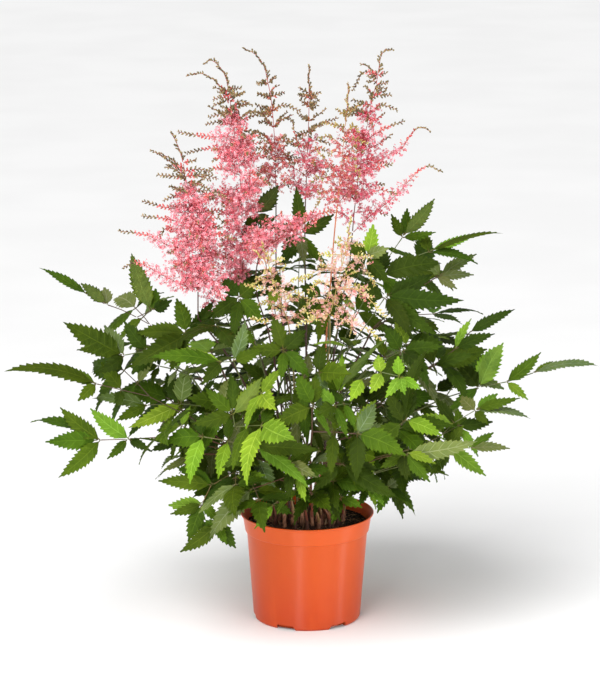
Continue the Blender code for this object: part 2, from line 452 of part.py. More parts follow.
def untangle(rib):
    """Leaflets or spikes of one piece that cross are tipped apart about their
    bases; those that still cross are made narrower."""
    which = {}
    for n, limb in enumerate(rib.limbs):
        for f in range(limb[0], limb[1]):
            which[f] = n

    def middle(f):
        return sum((rib.co[i] for i in rib.faces[f]), Vector()) / len(rib.faces[f])

    def heart(n):
        pts = [rib.co[i] for i, w in rib.limbs[n][2]]
        return sum(pts, Vector()) / len(pts)

    pairs = crossings(rib)
    for turn in range(26):
        if not pairs:
            break
        moves = {}
        seen_pairs = set()
        for f, g in pairs:
            m, n = which.get(f), which.get(g)
            if (m, n) in seen_pairs or m == n:
                continue
            seen_pairs.add((m, n))
            if m is not None and n is not None:
                um, un = rib.limbs[m][3], rib.limbs[n][3]
                d = (um + un if um.dot(un) >= 0 else um - un).normalized()
                sign = 1 if (heart(m) - heart(n)).dot(d) >= 0 else -1
                moves[m] = moves.get(m, Vector()) + d * sign
                moves[n] = moves.get(n, Vector()) - d * sign
            else:
                k, other = (m, g) if m is not None else (n, f)
                d = rib.limbs[k][3]
                sign = 1 if (heart(k) - middle(other)).dot(d) >= 0 else -1
                moves[k] = moves.get(k, Vector()) + d * sign
        for n in sorted(moves):
            limb = rib.limbs[n]
            if turn % 3 < 2 and turn < 18:
                step = moves[n].normalized() * 0.0022 if moves[n].length > 1e-6 else limb[3] * 0.0011
                for i, w in limb[2]:
                    rib.co[i] += step * w
            else:
                rows = limb[2][:-1]
                for (l, wl), (r, wr) in zip(rows[::2], rows[1::2]):
                    c = (rib.co[l] + rib.co[r]) * 0.5
                    rib.co[l] = c + (rib.co[l] - c) * 0.86
                    rib.co[r] = c + (rib.co[r] - c) * 0.86
        pairs = crossings(rib)
    for first, last, moved, up, kind, entry in rib.limbs:
        if kind == "B":
            base, tip, s, up, width, tone = rib.blades[entry]
            l, r = rib.co[moved[0][0]], rib.co[moved[1][0]]
            tip = rib.co[moved[-1][0]].copy()
            d = (tip - base).normalized()
            s2 = r - l
            if s2.dot(s) < 0:
                s2 = -s2
            width = s2.length
            s2 = (s2 - d * s2.dot(d)).normalized()
            up2 = s2.cross(d)
            if up2.z < 0:
                up2 = -up2
            rib.blades[entry] = (base, tip, s2, up2, width, tone)
        else:
            line, width, bloom = rib.spikes[entry]
            rows = moved[:-1]
            mids = [(rib.co[l] + rib.co[r]) * 0.5 for (l, wl), (r, wr) in zip(rows[::2], rows[1::2])]
            rib.spikes[entry] = ([line[0]] + mids + [rib.co[moved[-1][0]].copy()], width, bloom)
    return len(pairs)


# ------------------------------------------------- from elevation to metres
FACING = -AHEAD


def solid_tree(tree, shift, at=None):
    """The tree of one drawn leaf with its points in metres."""
    pts = [place(u, v, y + shift) for u, v, y in tree[1]]
    node, depth = pts[-1], tree[1][-1][2] + shift
    kids = []
    for kid in tree[2]:
        if kid[0] == "S":
            kids.append(solid_tree(kid, shift))
        else:
            (u, v), w, dy, tone = kid[1:]
            tip = place(u, v, depth + dy)
            axis = tip - node
            L = axis.length
            d = axis.normalized()
            flat = d.cross(FACING).normalized()
            seen_w = w * UNIT
            true = max(seen_w, 0.25 * L)
            roll = math.acos(min(1.0, seen_w / true))
            other = flat.cross(d)
            one = flat * math.cos(roll) + other * math.sin(roll)
            two = flat * math.cos(roll) - other * math.sin(roll)
            n1, n2 = abs(one.cross(d).z), abs(two.cross(d).z)
            kids.append(("B", tip, true, one if n1 >= n2 else two, tone))
    return ("S", pts, kids)


BENDS = [(0.22, 0.62, 0.052), (0.08, 0.72, 0.066), (0.36, 0.50, 0.040)]


def rise(foot, goal, way=0):
    """Points of a stalk that leaves the crown upright and bends to goal."""
    over = goal - foot
    part, high, hump = BENDS[way]
    if goal.z > foot.z + 0.07:
        knee = foot + Vector((over.x * part, over.y * part, over.z * high))
    else:
        knee = foot + Vector((over.x * (part + 0.18), over.y * (part + 0.18), max(0.0, over.z) + hump))
    out = [foot + Vector((0.0, 0.0, 0.007))]
    for t in (0.30, 0.55, 0.80):
        out.append(foot * (1 - t) ** 2 + knee * 2 * t * (1 - t) + goal * t * t)
    return out


DEPTHS = [0]
for _i in range(1, 11):
    DEPTHS += [7 * _i, -7 * _i]
TRIES = [(d, way, pace) for pace in (1.0, 1.5, 0.8, 2.1) for way in range(3) for d in DEPTHS]


def with_boughs(pts, kids, boughs):
    """The stalk through pts, split at the points where boughs leave it."""
    if not boughs:
        return pts, kids
    i = min(boughs)
    rest = {j - i - 1: b for j, b in boughs.items() if j != i}
    p, k = with_boughs(pts[i + 1:], kids, rest)
    return pts[:i + 1], [("S", p, k), boughs[i]]


def drawn_leaf(name, tree, foot, k, boughs):
    rib = Ribbon()
    shift, way, rib.pace = TRIES[k]
    tree = solid_tree(tree, shift)
    a = rib.point(foot + Vector((-STALK_HALF, 0, 0)), STALK_HALF)
    b = rib.point(foot + Vector((STALK_HALF, 0, 0)), STALK_HALF)
    rib.petiole = rise(foot, tree[1][0], way) + tree[1]
    pts, kids = with_boughs(rib.petiole, tree[2], boughs)
    grow_stalk(rib, a, b, pts, STALK_HALF, STALK_HALF * 0.8, kids, FACING)
    return rib


def leaflet_of(rng, base, d, L, tone, up, side, fwd, lean=0.0, broad=0.30):
    tip = base + d * L - Vector((0, 0, L * rng.uniform(0.10, 0.38)))
    dd = (tip - base).normalized()
    s = dd.cross(up + side * lean + fwd * rng.uniform(-0.3, 0.3)).normalized()
    return ("B", tip, L * broad * rng.uniform(0.90, 1.10), s, tone)


def round_leaf(name, az, reach, height, size, foot, k, boughs):
    """A twice divided leaf that leans out to one bearing."""
    rng = random.Random(name + "/" + str(k))
    if k:
        az += rng.uniform(-9, 9) * min(2.5, 0.5 + k * 0.05)
        reach *= rng.uniform(0.80, 1.15)
        height += rng.uniform(-0.045, 0.035)
    az = math.radians(az)
    out = Vector((math.sin(az), -math.cos(az), 0.0))
    dip = rng.uniform(-0.15, 0.30)
    fwd = (out - Vector((0, 0, dip))).normalized()
    side = fwd.cross(Vector((0, 0, 1))).normalized()
    up = side.cross(fwd)
    node = out * reach + Vector((0, 0, height))

    def leaflet(base, d, L, tone, lean=0.0):
        return leaflet_of(rng, base, d, L, tone, up, side, fwd, lean)

    def pinna(base, d, n, L):
        e = d.cross(up).normalized()
        inner = base + d * 0.030 * size
        far = inner + d * 0.030 * size - Vector((0, 0, 0.004))
        tail = [leaflet(far, d, L, rng.choice((0, 1, 1)))]
        tail += [leaflet(far, (d * 0.45 + e * q).normalized(), L * 0.78, rng.choice((0, 1, 2)), q * 0.3) for q in (-1, 1)]
        if n < 5:
            return ("S", [inner], [leaflet(inner, d, L, 1)] + [
                leaflet(inner, (d * 0.5 + e * q).normalized(), L * 0.8, rng.choice((0, 1)), q * 0.3) for q in (-1, 1)])
        return ("S", [inner], [("S", [far], tail)] + [
            leaflet(inner, (d * 0.25 + e * q).normalized(), L * 0.82, rng.choice((0, 1)), q * 0.3) for q in (-1, 1)])

    L = 0.082 * size
    kids = [pinna(node, fwd, 5, L)]
    for q in (-1, 1):
        d = (fwd * 0.38 + side * q * 0.9 + Vector((0, 0, rng.uniform(-0.1, 0.25)))).normalized()
        kids.append(pinna(node, d, 3, L * 0.86))
    rib = Ribbon()
    s0 = out.cross(Vector((0, 0, 1))).normalized()
    a = rib.point(foot - s0 * STALK_HALF, STALK_HALF)
    b = rib.point(foot + s0 * STALK_HALF, STALK_HALF)
    rib.petiole = rise(foot, node, k % 3) + [node]
    pts, kids = with_boughs(rib.petiole, kids, boughs)
    grow_stalk(rib, a, b, pts, STALK_HALF, STALK_HALF * 0.8, kids, -out + Vector((0, 0, 0.2)), None)
    return rib


def drawn_plume(name, axis, sides, kind, foot, k):
    rib = Ribbon()
    shift, way, rib.pace = TRIES[k]
    nodes = []
    for v, pts, bloom in sorted(sides, key=lambda t: -t[0]):
        nodes.append((v, [place(x, y, z + shift) for x, y, z in pts], bloom))
    line = list(axis)
    low, high = line[0][1], line[-1][1]

    def at(v):
        for p, q in zip(line, line[1:]):
            if q[1] <= v <= p[1] and p[1] > q[1]:
                t = (p[1] - v) / (p[1] - q[1])
                return tuple(p[i] + (q[i] - p[i]) * t for i in range(3))
        return line[0] if v > low else line[-1]

    def build(i, v_from):
        """The axis from v_from up to its tip, as a chain of stalks."""
        if i >= len(nodes):
            rest = [place(p[0], p[1], p[2] + shift) for p in line if p[1] < v_from - 1.0]
            if not rest:
                rest = [place(line[-1][0], line[-1][1], line[-1][2] + shift)]
            return ("F", rest, 0.0050, 0)
        group = [nodes[i]]
        if i + 1 < len(nodes) and nodes[i][0] - nodes[i + 1][0] < 9:
            group.append(nodes[i + 1])
        v = group[0][0]
        between = [p for p in line if v + 4 < p[1] < v_from - 4]
        pts = [place(p[0], p[1], p[2] + shift) for p in between] + [place(*(lambda q: (q[0], q[1], q[2] + shift))(at(v)))]
        kids = [("F", g[1], 0.0075 if g[2] else 0.0050, g[2]) for g in group]
        kids.append(build(i + len(group), v - 1.5))
        return ("S", pts, kids)

    a = rib.point(foot + Vector((-STEM_HALF, 0, 0)), STEM_HALF)
    b = rib.point(foot + Vector((STEM_HALF, 0, 0)), STEM_HALF)
    start = place(line[0][0], line[0][1], line[0][2] + shift)
    grow_stalk(rib, a, b, rise(foot, start, way), STEM_HALF, STEM_HALF * 0.85,
               [("S", [start], [build(0, low)])], FACING)
    return rib


def pieces(feet):
    """Name and maker of every plant piece, in the order that they are set."""
    jobs = []
    for name, ring, axis, sides, kind in PLUMES:
        jobs.append((name, lambda k, boughs, n=name, a=axis, s=sides, c=kind: drawn_plume(n, a, s, c, feet[n], k)))
    for name, ring, tree in LEAVES:
        jobs.append((name, lambda k, boughs, n=name, t=tree: drawn_leaf(n, t, feet[n], k, boughs)))
    for name, az, reach, height, size in ROUND_LEAVES:
        jobs.append((name, lambda k, boughs, n=name, z=az, r=reach, h=height, s=size: round_leaf(n, z, r, h, s, feet[n], k, boughs)))
    return jobs


# ------------------------------------------------------- the turned profiles
EDGE = 0.0012
POT_PROFILE = [
    (0.0, FLOOR_T),
    (FOOT_R - WALL - 0.002, FLOOR_T),
    (FOOT_R - WALL + 0.0003, FLOOR_T + 0.004),
    (BODY_TOP_R - WALL, BAND_LOW_Z + 0.001),
    (BAND_TOP_R - WALL, POT_H - 0.004),
    (LIP_R - 0.0014, POT_H),
    (LIP_R, POT_H - 0.0005),
    (LIP_R, POT_H - 0.0018),
    (BAND_TOP_R, POT_H - 0.0034),
    (BAND_LOW_R, BAND_LOW_Z),
    (BODY_TOP_R, BAND_LOW_Z - 0.0006),
    (FOOT_R, 0.0016),
    (FOOT_R - EDGE, 0.0),
    (0.0, 0.0),
]


def inner_r(z):
    lo, hi = (FLOOR_T + 0.004, FOOT_R - WALL + 0.0003), (BAND_LOW_Z + 0.001, BODY_TOP_R - WALL)
    if z > hi[0]:
        lo, hi = hi, (POT_H - 0.004, BAND_TOP_R - WALL)
    return lo[1] + (hi[1] - lo[1]) * (z - lo[0]) / (hi[0] - lo[0])


SOIL_PROFILE = [
    (0.0, SOIL_Z),
    (inner_r(SOIL_Z) - SOIL_GAP, SOIL_Z),
    (inner_r(BAND_LOW_Z + 0.001) - SOIL_GAP, BAND_LOW_Z + 0.001),
    (inner_r(0.012) - SOIL_GAP, 0.012),
    (0.0, 0.012),
]
CROWN_PROFILE = [(0.0, SOIL_Z + CLEAR + CROWN_H)] + [
    (CROWN_R * math.sin(t * math.pi / 10), SOIL_Z + CLEAR + CROWN_H * math.cos(t * math.pi / 10)) for t in range(1, 6)] + [
    (0.0, SOIL_Z + CLEAR)]


def turned_space(profile, n):
    """The walls of a profile turned round Z in n steps."""
    co, faces = [], []
    for i in range(n):
        a = 2 * math.pi * i / n
        co += [Vector((r * math.cos(a), r * math.sin(a), z)) for r, z in profile]
    m = len(profile)
    for i in range(n):
        j = (i + 1) % n
        for k in range(m - 1):
            faces.append((i * m + k, i * m + k + 1, j * m + k + 1, j * m + k))
    return tree_of(co, faces)


# ---------------------------------------------------------- filling foliage
# The outline of the leafy mass on the front elevation, where the leaves stand
# close, and the wider outline that the leaf tips reach.
MASS = [(112, 345), (128, 318), (160, 296), (208, 318), (246, 300), (252, 262), (262, 214), (284, 216), (300, 244),
        (338, 222), (372, 226), (396, 244), (446, 262), (468, 300), (486, 330), (500, 372), (486, 420), (452, 452),
        (408, 474), (388, 498), (345, 506), (300, 502), (258, 516), (222, 508), (196, 484), (166, 462), (132, 430), (98, 404), (92, 368)]
REACH = [(60, 330), (100, 285), (160, 275), (240, 290), (250, 200), (290, 200), (340, 205), (400, 205), (470, 240),
         (505, 320), (540, 380), (500, 440), (440, 480), (395, 510), (345, 516), (250, 525), (200, 540), (170, 500), (100, 470), (50, 420)]


def inside(poly, u, v):
    hit = False
    for (x0, y0), (x1, y1) in zip(poly, poly[1:] + poly[:1]):
        if (y0 > v) != (y1 > v) and u < (x1 - x0) * (v - y0) / (y1 - y0) + x0:
            hit = not hit
    return hit


def seen(p):
    """Where a point falls on the front elevation."""
    q = p - EYE
    deep = q.dot(AHEAD)
    return 300.0 + FOCUS * q.x / deep, 341.5 - FOCUS * q.dot(UPWARD) / deep


def spots(blade):
    """Points spread over a leaflet."""
    base, tip, s, width = blade[0], blade[1], blade[2], blade[4]
    out = []
    for t in (0.15, 0.3, 0.45, 0.6, 0.75, 0.9):
        c = base.lerp(tip, t)
        out.append(c)
        if 0.2 < t < 0.7:
            out += [c + s * width * 0.3, c - s * width * 0.3]
    return out


def cells(blades):
    """The cells that leaflets cover on the front, the side and the plan."""
    front, flank, plan = set(), set(), set()
    for b in blades:
        for p in spots(b):
            u, v = seen(p)
            front.add((int(u // 9), int(v // 9)))
            flank.add((int(p.y // 0.016), int(p.z // 0.016)))
            plan.add((int(p.x // 0.018), int(p.y // 0.018)))
    return front, flank, plan


# Where the flower plumes stand clear of the leaves on the front elevation.
CLEARINGS = [[(112, 226), (140, 150), (262, 130), (285, 190), (262, 214), (258, 290), (238, 306), (228, 326), (196, 326), (188, 300), (150, 292), (116, 276)],
             [(244, 310), (262, 244), (336, 206), (362, 228), (388, 262), (392, 344), (330, 346), (300, 330), (262, 340)]]
MASS_CELLS, REACH_CELLS, CLEAR_CELLS = set(), set(), set()
for _i in range(68):
    for _j in range(77):
        if inside(MASS, _i * 9 + 4.5, _j * 9 + 4.5):
            MASS_CELLS.add((_i, _j))
        if inside(REACH, _i * 9 + 4.5, _j * 9 + 4.5):
            REACH_CELLS.add((_i, _j))
        if any(inside(c, _i * 9 + 4.5, _j * 9 + 4.5) for c in CLEARINGS):
            CLEAR_CELLS.add((_i, _j))


def worth(found, counts):
    """How much a new bough would fill that is still open."""
    score = 0.0
    near = sum(c[0] for c in found[1]) / len(found[1]) * 0.016 < -0.02
    for c in found[0]:
        n = counts[0].get(c, 0)
        if c in CLEAR_CELLS and near:
            score -= 1.6
        elif c in MASS_CELLS:
            score += (2.2, 1.1, 0.5)[n] if n < 3 else 0.0
        elif c not in REACH_CELLS:
            score -= 1.2
        else:
            score += 0.1 if n == 0 else 0.0
    for c in found[1]:
        y, z = c[0] * 0.016 + 0.008, c[1] * 0.016 + 0.008
        r = ((y - 0.035) / 0.25) ** 2 + ((z - 0.315) / 0.17) ** 2
        n = counts[1].get(c, 0)
        score += ((0.6, 0.3, 0.15)[n] if n < 3 else 0.0) if r < 1 else -0.5
    for c in found[2]:
        x, y = c[0] * 0.018 + 0.009, c[1] * 0.018 + 0.009
        r = (x / 0.31) ** 2 + ((y - 0.035) / 0.235) ** 2
        n = counts[2].get(c, 0)
        score += ((0.6, 0.3, 0.15)[n] if n < 3 else 0.0) if r < 1 else -0.5
    return score


def bough(rng, base, ahead):
    """A side branch of three or five leaflets that leaves a leaf stalk."""
    out = Vector((base.x, base.y - 0.02, 0.0))
    out = out.normalized() if out.length > 0.01 else Vector((0, -1, 0))
    a = rng.uniform(-1.5, 1.5)
    turn = Vector((out.x * math.cos(a) - out.y * math.sin(a), out.x * math.sin(a) + out.y * math.cos(a), 0))
    d = (turn + ahead * 0.25 + Vector((0, 0, rng.uniform(-0.25, 0.65)))).normalized()
    side = d.cross(Vector((0, 0, 1))).normalized()
    up = (side.cross(d) + out * rng.uniform(0.35, 1.7)).normalized()
    L = rng.uniform(0.044, 0.084)
    e = d.cross(up).normalized()
    stem = rng.uniform(0.018, 0.050)
    near = base + d * stem + Vector((0, 0, 0.004))
    tones = (0, 0, 1, 1, 1, 2, 3)
    kids = [leaflet_of(rng, near, d, L, rng.choice(tones), up, side, d, 0.0, 0.38)]
    for q in (-1, 1):
        kids.append(leaflet_of(rng, near, (d * 0.45 + e * q).normalized(), L * rng.uniform(0.68, 0.86), rng.choice(tones), up, side, d, q * 0.3, 0.37))
    if rng.random() < 0.45:
        first = base + d * stem * 0.60 + Vector((0, 0, 0.003))
        pair = [leaflet_of(rng, first, (d * 0.15 + e * q).normalized(), L * rng.uniform(0.55, 0.72), rng.choice(tones), up, side, d, q * 0.3, 0.37) for q in (-1, 1)]
        return ("S", [first], [("S", [near + d * 0.012], kids)] + pair)
    return ("S", [near], kids)


MOST = 25300             # triangles of all the closed pieces together
OTHERS = 1500            # of which the pot, the soil and the crown


def arrange():
    """Every plant piece as a ribbon, set so that none touches another."""
    feet = give_footings()
    ground = [turned_space(POT_PROFILE, TURN), turned_space(SOIL_PROFILE, TURN), turned_space(CROWN_PROFILE, 32)]
    drawn = [p[0] for p in PLUMES] + [l[0] for l in LEAVES]
    ribs, trees, picks, makers = {}, {}, {}, dict(pieces(feet))
    order = [name for name, make in pieces(feet)]

    def touches(rib, name):
        probe = space(rib, CLEAR)
        return sum(len(probe.overlap(t)) for t in ground) + sum(len(probe.overlap(t)) for n, t in trees.items() if n != name)

    for name in order:
        best = None
        for k in range(len(TRIES) if name in drawn else 240):
            rib = makers[name](k, {})
            hits = touches(rib, name)
            if hits == 0:
                hits = 0.1 * untangle(rib)
                hits += touches(rib, name)
            if best is None or hits < best[0]:
                best = (hits, k, rib)
            if hits == 0:
                break
        if best[0]:
            print("touching", name, best[0])
        ribs[name], trees[name], picks[name] = best[2], space(best[2], 0.0), best[1]
    counts = ({}, {}, {})

    def mark(blades, by):
        for grid, found_cells in zip(counts, cells(blades)):
            for c in found_cells:
                grid[c] = grid.get(c, 0) + by

    for rib in ribs.values():
        for b in rib.blades:
            mark([b], 1)
    total = OTHERS + sum(triangles(r) for r in ribs.values())
    boughs = {name: {} for name in order}
    for turn in range(15):
        for name in order:
            if not name.startswith("leaf") or total > MOST:
                continue
            rib = ribs[name]
            places = [i for i in range(2, len(rib.petiole) - 1) if i not in boughs[name]]
            if not places or len(boughs[name]) > 6:
                continue
            rng = random.Random("%s+%d" % (name, turn))
            ranked = []
            for n in range(44):
                i = rng.choice(places)
                base = rib.petiole[i]
                ahead = (rib.petiole[i + 1] - rib.petiole[i - 1]).normalized()
                b = bough(rng, base, ahead)
                probe = Ribbon()
                start = b[1][0].lerp(base, 0.7)
                p0 = probe.point(start - Vector((0.0006, 0, 0)), 0.0007)
                p1 = probe.point(start + Vector((0.0006, 0, 0)), 0.0007)
                grow_stalk(probe, p0, p1, b[1], 0.0007, 0.0007, b[2], Vector((0, 0, 1)))
                score = worth(cells(probe.blades), counts)
                ranked.append((-score, n, i, b, probe))
            ranked.sort(key=lambda t: t[:2])
            for score, n, i, b, probe in ranked[:20]:
                if -score < 1.2:
                    break
                shell = space(probe, CLEAR * 2)
                if any(shell.overlap(t) for t in ground) or any(shell.overlap(t) for t in trees.values()):
                    continue
                trial = dict(boughs[name])
                trial[i] = b
                full = makers[name](picks[name], trial)
                if untangle(full) or touches(full, name):
                    continue
                for q in rib.blades:
                    mark([q], -1)
                total += triangles(full) - triangles(rib)
                ribs[name], trees[name], boughs[name] = full, space(full, 0.0), trial
                for q in full.blades:
                    mark([q], 1)
                break
    print("leaflets", sum(len(r.blades) for r in ribs.values()), "spikes", sum(len(r.spikes) for r in ribs.values()), "triangles", total)
    return [(name, ribs[name]) for name in order]
# --------------------------------------------------------- end of skeleton


# -------------------------------------------------------------- the scene
for o in list(bpy.data.objects):
    bpy.data.objects.remove(o, do_unlink=True)

SET = bpy.data.collections.new("potted_astilbe")
CUT = bpy.data.collections.new("cutters")
bpy.context.scene.collection.children.link(SET)
bpy.context.scene.collection.children.link(CUT)


def material(name, colour, rough, metal=0.0):
    m = bpy.data.materials.new(name)
    m.use_nodes = True
    b = m.node_tree.nodes["Principled BSDF"]
    b.inputs["Base Color"].default_value = (*colour, 1.0)
    b.inputs["Roughness"].default_value = rough
    b.inputs["Metallic"].default_value = metal
    return m


def add(mesh, name, mat, where=SET):
    o = bpy.data.objects.new(name, mesh)
    where.objects.link(o)
    if mat is not None:
        mesh.materials.append(mat)
    return o


def turned(name, profile, mat, steps, where=SET):
    """A closed profile of (radius, height) turned round the Z axis."""
    bm = bmesh.new()
    vs = [bm.verts.new((r, 0.0, z)) for r, z in profile]
    for p, q in zip(vs, vs[1:]):
        bm.edges.new((p, q))
    mesh = bpy.data.meshes.new(name)
    bm.to_mesh(mesh)
    bm.free()
    o = add(mesh, name, mat, where)
    s = o.modifiers.new("turn", "SCREW")
    s.axis = "Z"
    s.steps = s.render_steps = steps
    s.angle = 2 * math.pi
    s.use_merge_vertices = True
    s.merge_threshold = 0.00002
    s.use_smooth_shade = True
    return o


# ------------------------------------------------------------------ pot
pot = turned("pot", POT_PROFILE, material("pot_plastic", (0.75, 0.12, 0.03), 0.35), TURN)


def cutter(name, size, at, turn):
    bm = bmesh.new()
    bmesh.ops.create_cube(bm, size=1.0)
    bmesh.ops.scale(bm, vec=size, verts=bm.verts)
    mesh = bpy.data.meshes.new(name)
    bm.to_mesh(mesh)
    bm.free()
    o = add(mesh, name, None, CUT)
    o.location = at
    o.rotation_euler = (0, 0, turn)
    o.hide_render = True
    o.display_type = "WIRE"
    return o


def drill(name, r, depth, at):
    bm = bmesh.new()
    bmesh.ops.create_cone(bm, cap_ends=True, segments=14, radius1=r, radius2=r, depth=depth)
    mesh = bpy.data.meshes.new(name)
    bm.to_mesh(mesh)
    bm.free()
    o = add(mesh, name, None, CUT)
    o.location = at
    o.hide_render = True
    o.display_type = "WIRE"
    return o


tools = []
for i in range(NOTCHES):
    a = math.radians(-24 + 60 * i)
    d = Vector((math.sin(a), -math.cos(a), 0))
    tools.append(cutter("notch_cutter_%d" % (i + 1), (0.027, 0.016, 0.0110), d * (FOOT_R - 0.001) + Vector((0, 0, 0.0)), a))
    tools.append(drill("hole_cutter_%d" % (i + 1), 0.0045, 0.02, d * 0.046))
for t in tools:
    m = pot.modifiers.new(t.name, "BOOLEAN")
    m.operation = "DIFFERENCE"
    m.solver = "EXACT"
    m.object = t

# -------------------------------------------------------- soil and crown
soil = turned("soil", SOIL_PROFILE, material("soil", (0.03, 0.018, 0.010), 0.95), TURN)
crown = turned("crown", CROWN_PROFILE, material("crown_bark", (0.10, 0.035, 0.02), 0.9), 32)

# ------------------------------------------------------ leaves and plumes
LEAF_TONES = [(0.03, 0.10, 0.015), (0.05, 0.17, 0.025), (0.14, 0.36, 0.04), (0.16, 0.22, 0.10)]
for name, rib in arrange():
    mesh = bpy.data.meshes.new(name)
    mesh.from_pydata(rib.co, [], rib.faces)
    if name.startswith("leaf"):
        tone = (rib.blades[0][5]) % 4
        mat = material(name + "_green", LEAF_TONES[tone], 0.45)
    else:
        kind = [p[4] for p in PLUMES if p[0] == name][0]
        mat = material(name + "_bloom", [(0.30, 0.20, 0.10), (0.85, 0.25, 0.32), (0.85, 0.68, 0.42)][kind], 0.7)
    o = add(mesh, name, mat)
    group = o.vertex_groups.new(name="thickness")
    big = max(rib.half)
    for i, h in enumerate(rib.half):
        group.add([i], h / big, "REPLACE")
    s = o.modifiers.new("thickness", "SOLIDIFY")
    s.thickness = 2 * big
    s.offset = 0.0
    s.use_even_offset = False
    s.use_rim = True
    s.vertex_group = "thickness"
    s.thickness_vertex_group = 0.0
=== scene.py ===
# Potted astilbe, the finished look: every leaflet with its teeth, folds and
# veins, the florets and buds of the plumes, the moulded pot and the peat.
import bpy
import bmesh
import math
import random
import numpy as np
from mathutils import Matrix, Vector
from mathutils.bvhtree import BVHTree


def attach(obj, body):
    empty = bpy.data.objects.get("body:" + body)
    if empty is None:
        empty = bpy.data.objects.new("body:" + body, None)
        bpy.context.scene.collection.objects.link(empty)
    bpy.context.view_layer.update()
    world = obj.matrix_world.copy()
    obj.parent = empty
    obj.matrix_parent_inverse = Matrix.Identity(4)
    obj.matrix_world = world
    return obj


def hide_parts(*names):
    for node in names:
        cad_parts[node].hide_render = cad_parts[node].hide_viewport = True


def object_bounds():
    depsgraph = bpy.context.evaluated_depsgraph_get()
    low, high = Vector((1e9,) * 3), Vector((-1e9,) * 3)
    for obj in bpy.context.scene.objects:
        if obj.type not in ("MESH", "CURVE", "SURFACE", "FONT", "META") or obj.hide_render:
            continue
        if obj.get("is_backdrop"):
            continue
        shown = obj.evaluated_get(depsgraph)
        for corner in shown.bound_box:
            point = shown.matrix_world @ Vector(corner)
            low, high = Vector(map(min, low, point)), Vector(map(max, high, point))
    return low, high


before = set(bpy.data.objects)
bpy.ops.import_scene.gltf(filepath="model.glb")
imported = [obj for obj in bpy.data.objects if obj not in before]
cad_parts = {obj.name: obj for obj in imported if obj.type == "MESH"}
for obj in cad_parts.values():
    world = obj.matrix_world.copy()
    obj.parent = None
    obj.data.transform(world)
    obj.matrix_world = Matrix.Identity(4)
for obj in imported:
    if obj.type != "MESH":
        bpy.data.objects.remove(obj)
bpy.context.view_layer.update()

# light of the studio
WORLD = 0.40
SUN = 2.35
KEY = 18.0
FILL = 20.0
TOP = 5.0
STRIP_L = 2.3
STRIP_R = 2.3
EXPOSURE = 0.0

# ------------------------------------------------------------------- sizes
POT_H = 0.137            # pot height
LIP_R = 0.0840           # outer radius of the thin flared lip
BAND_TOP_R = 0.0812      # rim band just under the lip
BAND_LOW_R = 0.0780      # rim band at its lower edge
BAND_LOW_Z = 0.1140      # height of that lower edge
BODY_TOP_R = 0.0758      # tapered body just under the band
FOOT_R = 0.0674          # outer radius of the body at the foot
WALL = 0.0018            # wall thickness
FLOOR_T = 0.0022         # floor thickness
TURN = 48                # sides of the turned shapes
NOTCHES = 6              # drainage notches round the foot
SOIL_Z = 0.1235          # level of the soil
SOIL_GAP = 0.0004
CROWN_R = 0.0520         # woody crown on the soil
CROWN_H = 0.0090
STALK_HALF = 0.0015      # half the thickness of a leaf stalk at its foot
STEM_HALF = 0.0019       # half the thickness of a flower stem at its foot
BLADE_HALF = 0.00045     # half the thickness of a leaflet
SPIKE_HALF = 0.0026      # half the thickness of a side branch of a plume
CLEAR = 0.0003           # air between neighbours

# --------------------------------------------------------- front elevation
# The stalks, leaflets and plumes are set out on a front elevation, 600 units
# wide, seen by an eye 4 m from the pot that looks 13.6 degrees down.  place()
# turns a point of that elevation and a depth in millimetres (negative towards
# the eye) into metres.
EYE = Vector((-0.0088, -3.8378, 1.2844))
TILT = math.radians(13.6)
FOCUS = 3182.0
AHEAD = Vector((0.0, math.cos(TILT), -math.sin(TILT)))
UPWARD = Vector((0.0, math.sin(TILT), math.cos(TILT)))
UNIT = 0.001257          # metres for one unit of the elevation at the pot


def place(u, v, depth):
    d = AHEAD + Vector((1, 0, 0)) * ((u - 300.0) / FOCUS) + UPWARD * ((341.5 - v) / FOCUS)
    return EYE + d * ((depth * 0.001 - EYE.y) / d.y)


# --------------------------------------------------------------- the leaves
# S: a stalk through points (u, v, depth), with what grows at its end.
# B: a leaflet, by its tip and its seen width, then how far its tip comes
# forward (-) or goes back (+) in millimetres, and its tone: 0 deep green
# (the mid green darkened, painted shade), 1 mid green, 2 fresh lime, 3 grey-green underside.
def S(points, kids):
    return ("S", points, kids)


def B(u, v, w, dy=0, tone=1):
    return ("B", (u, v), w, dy, tone)


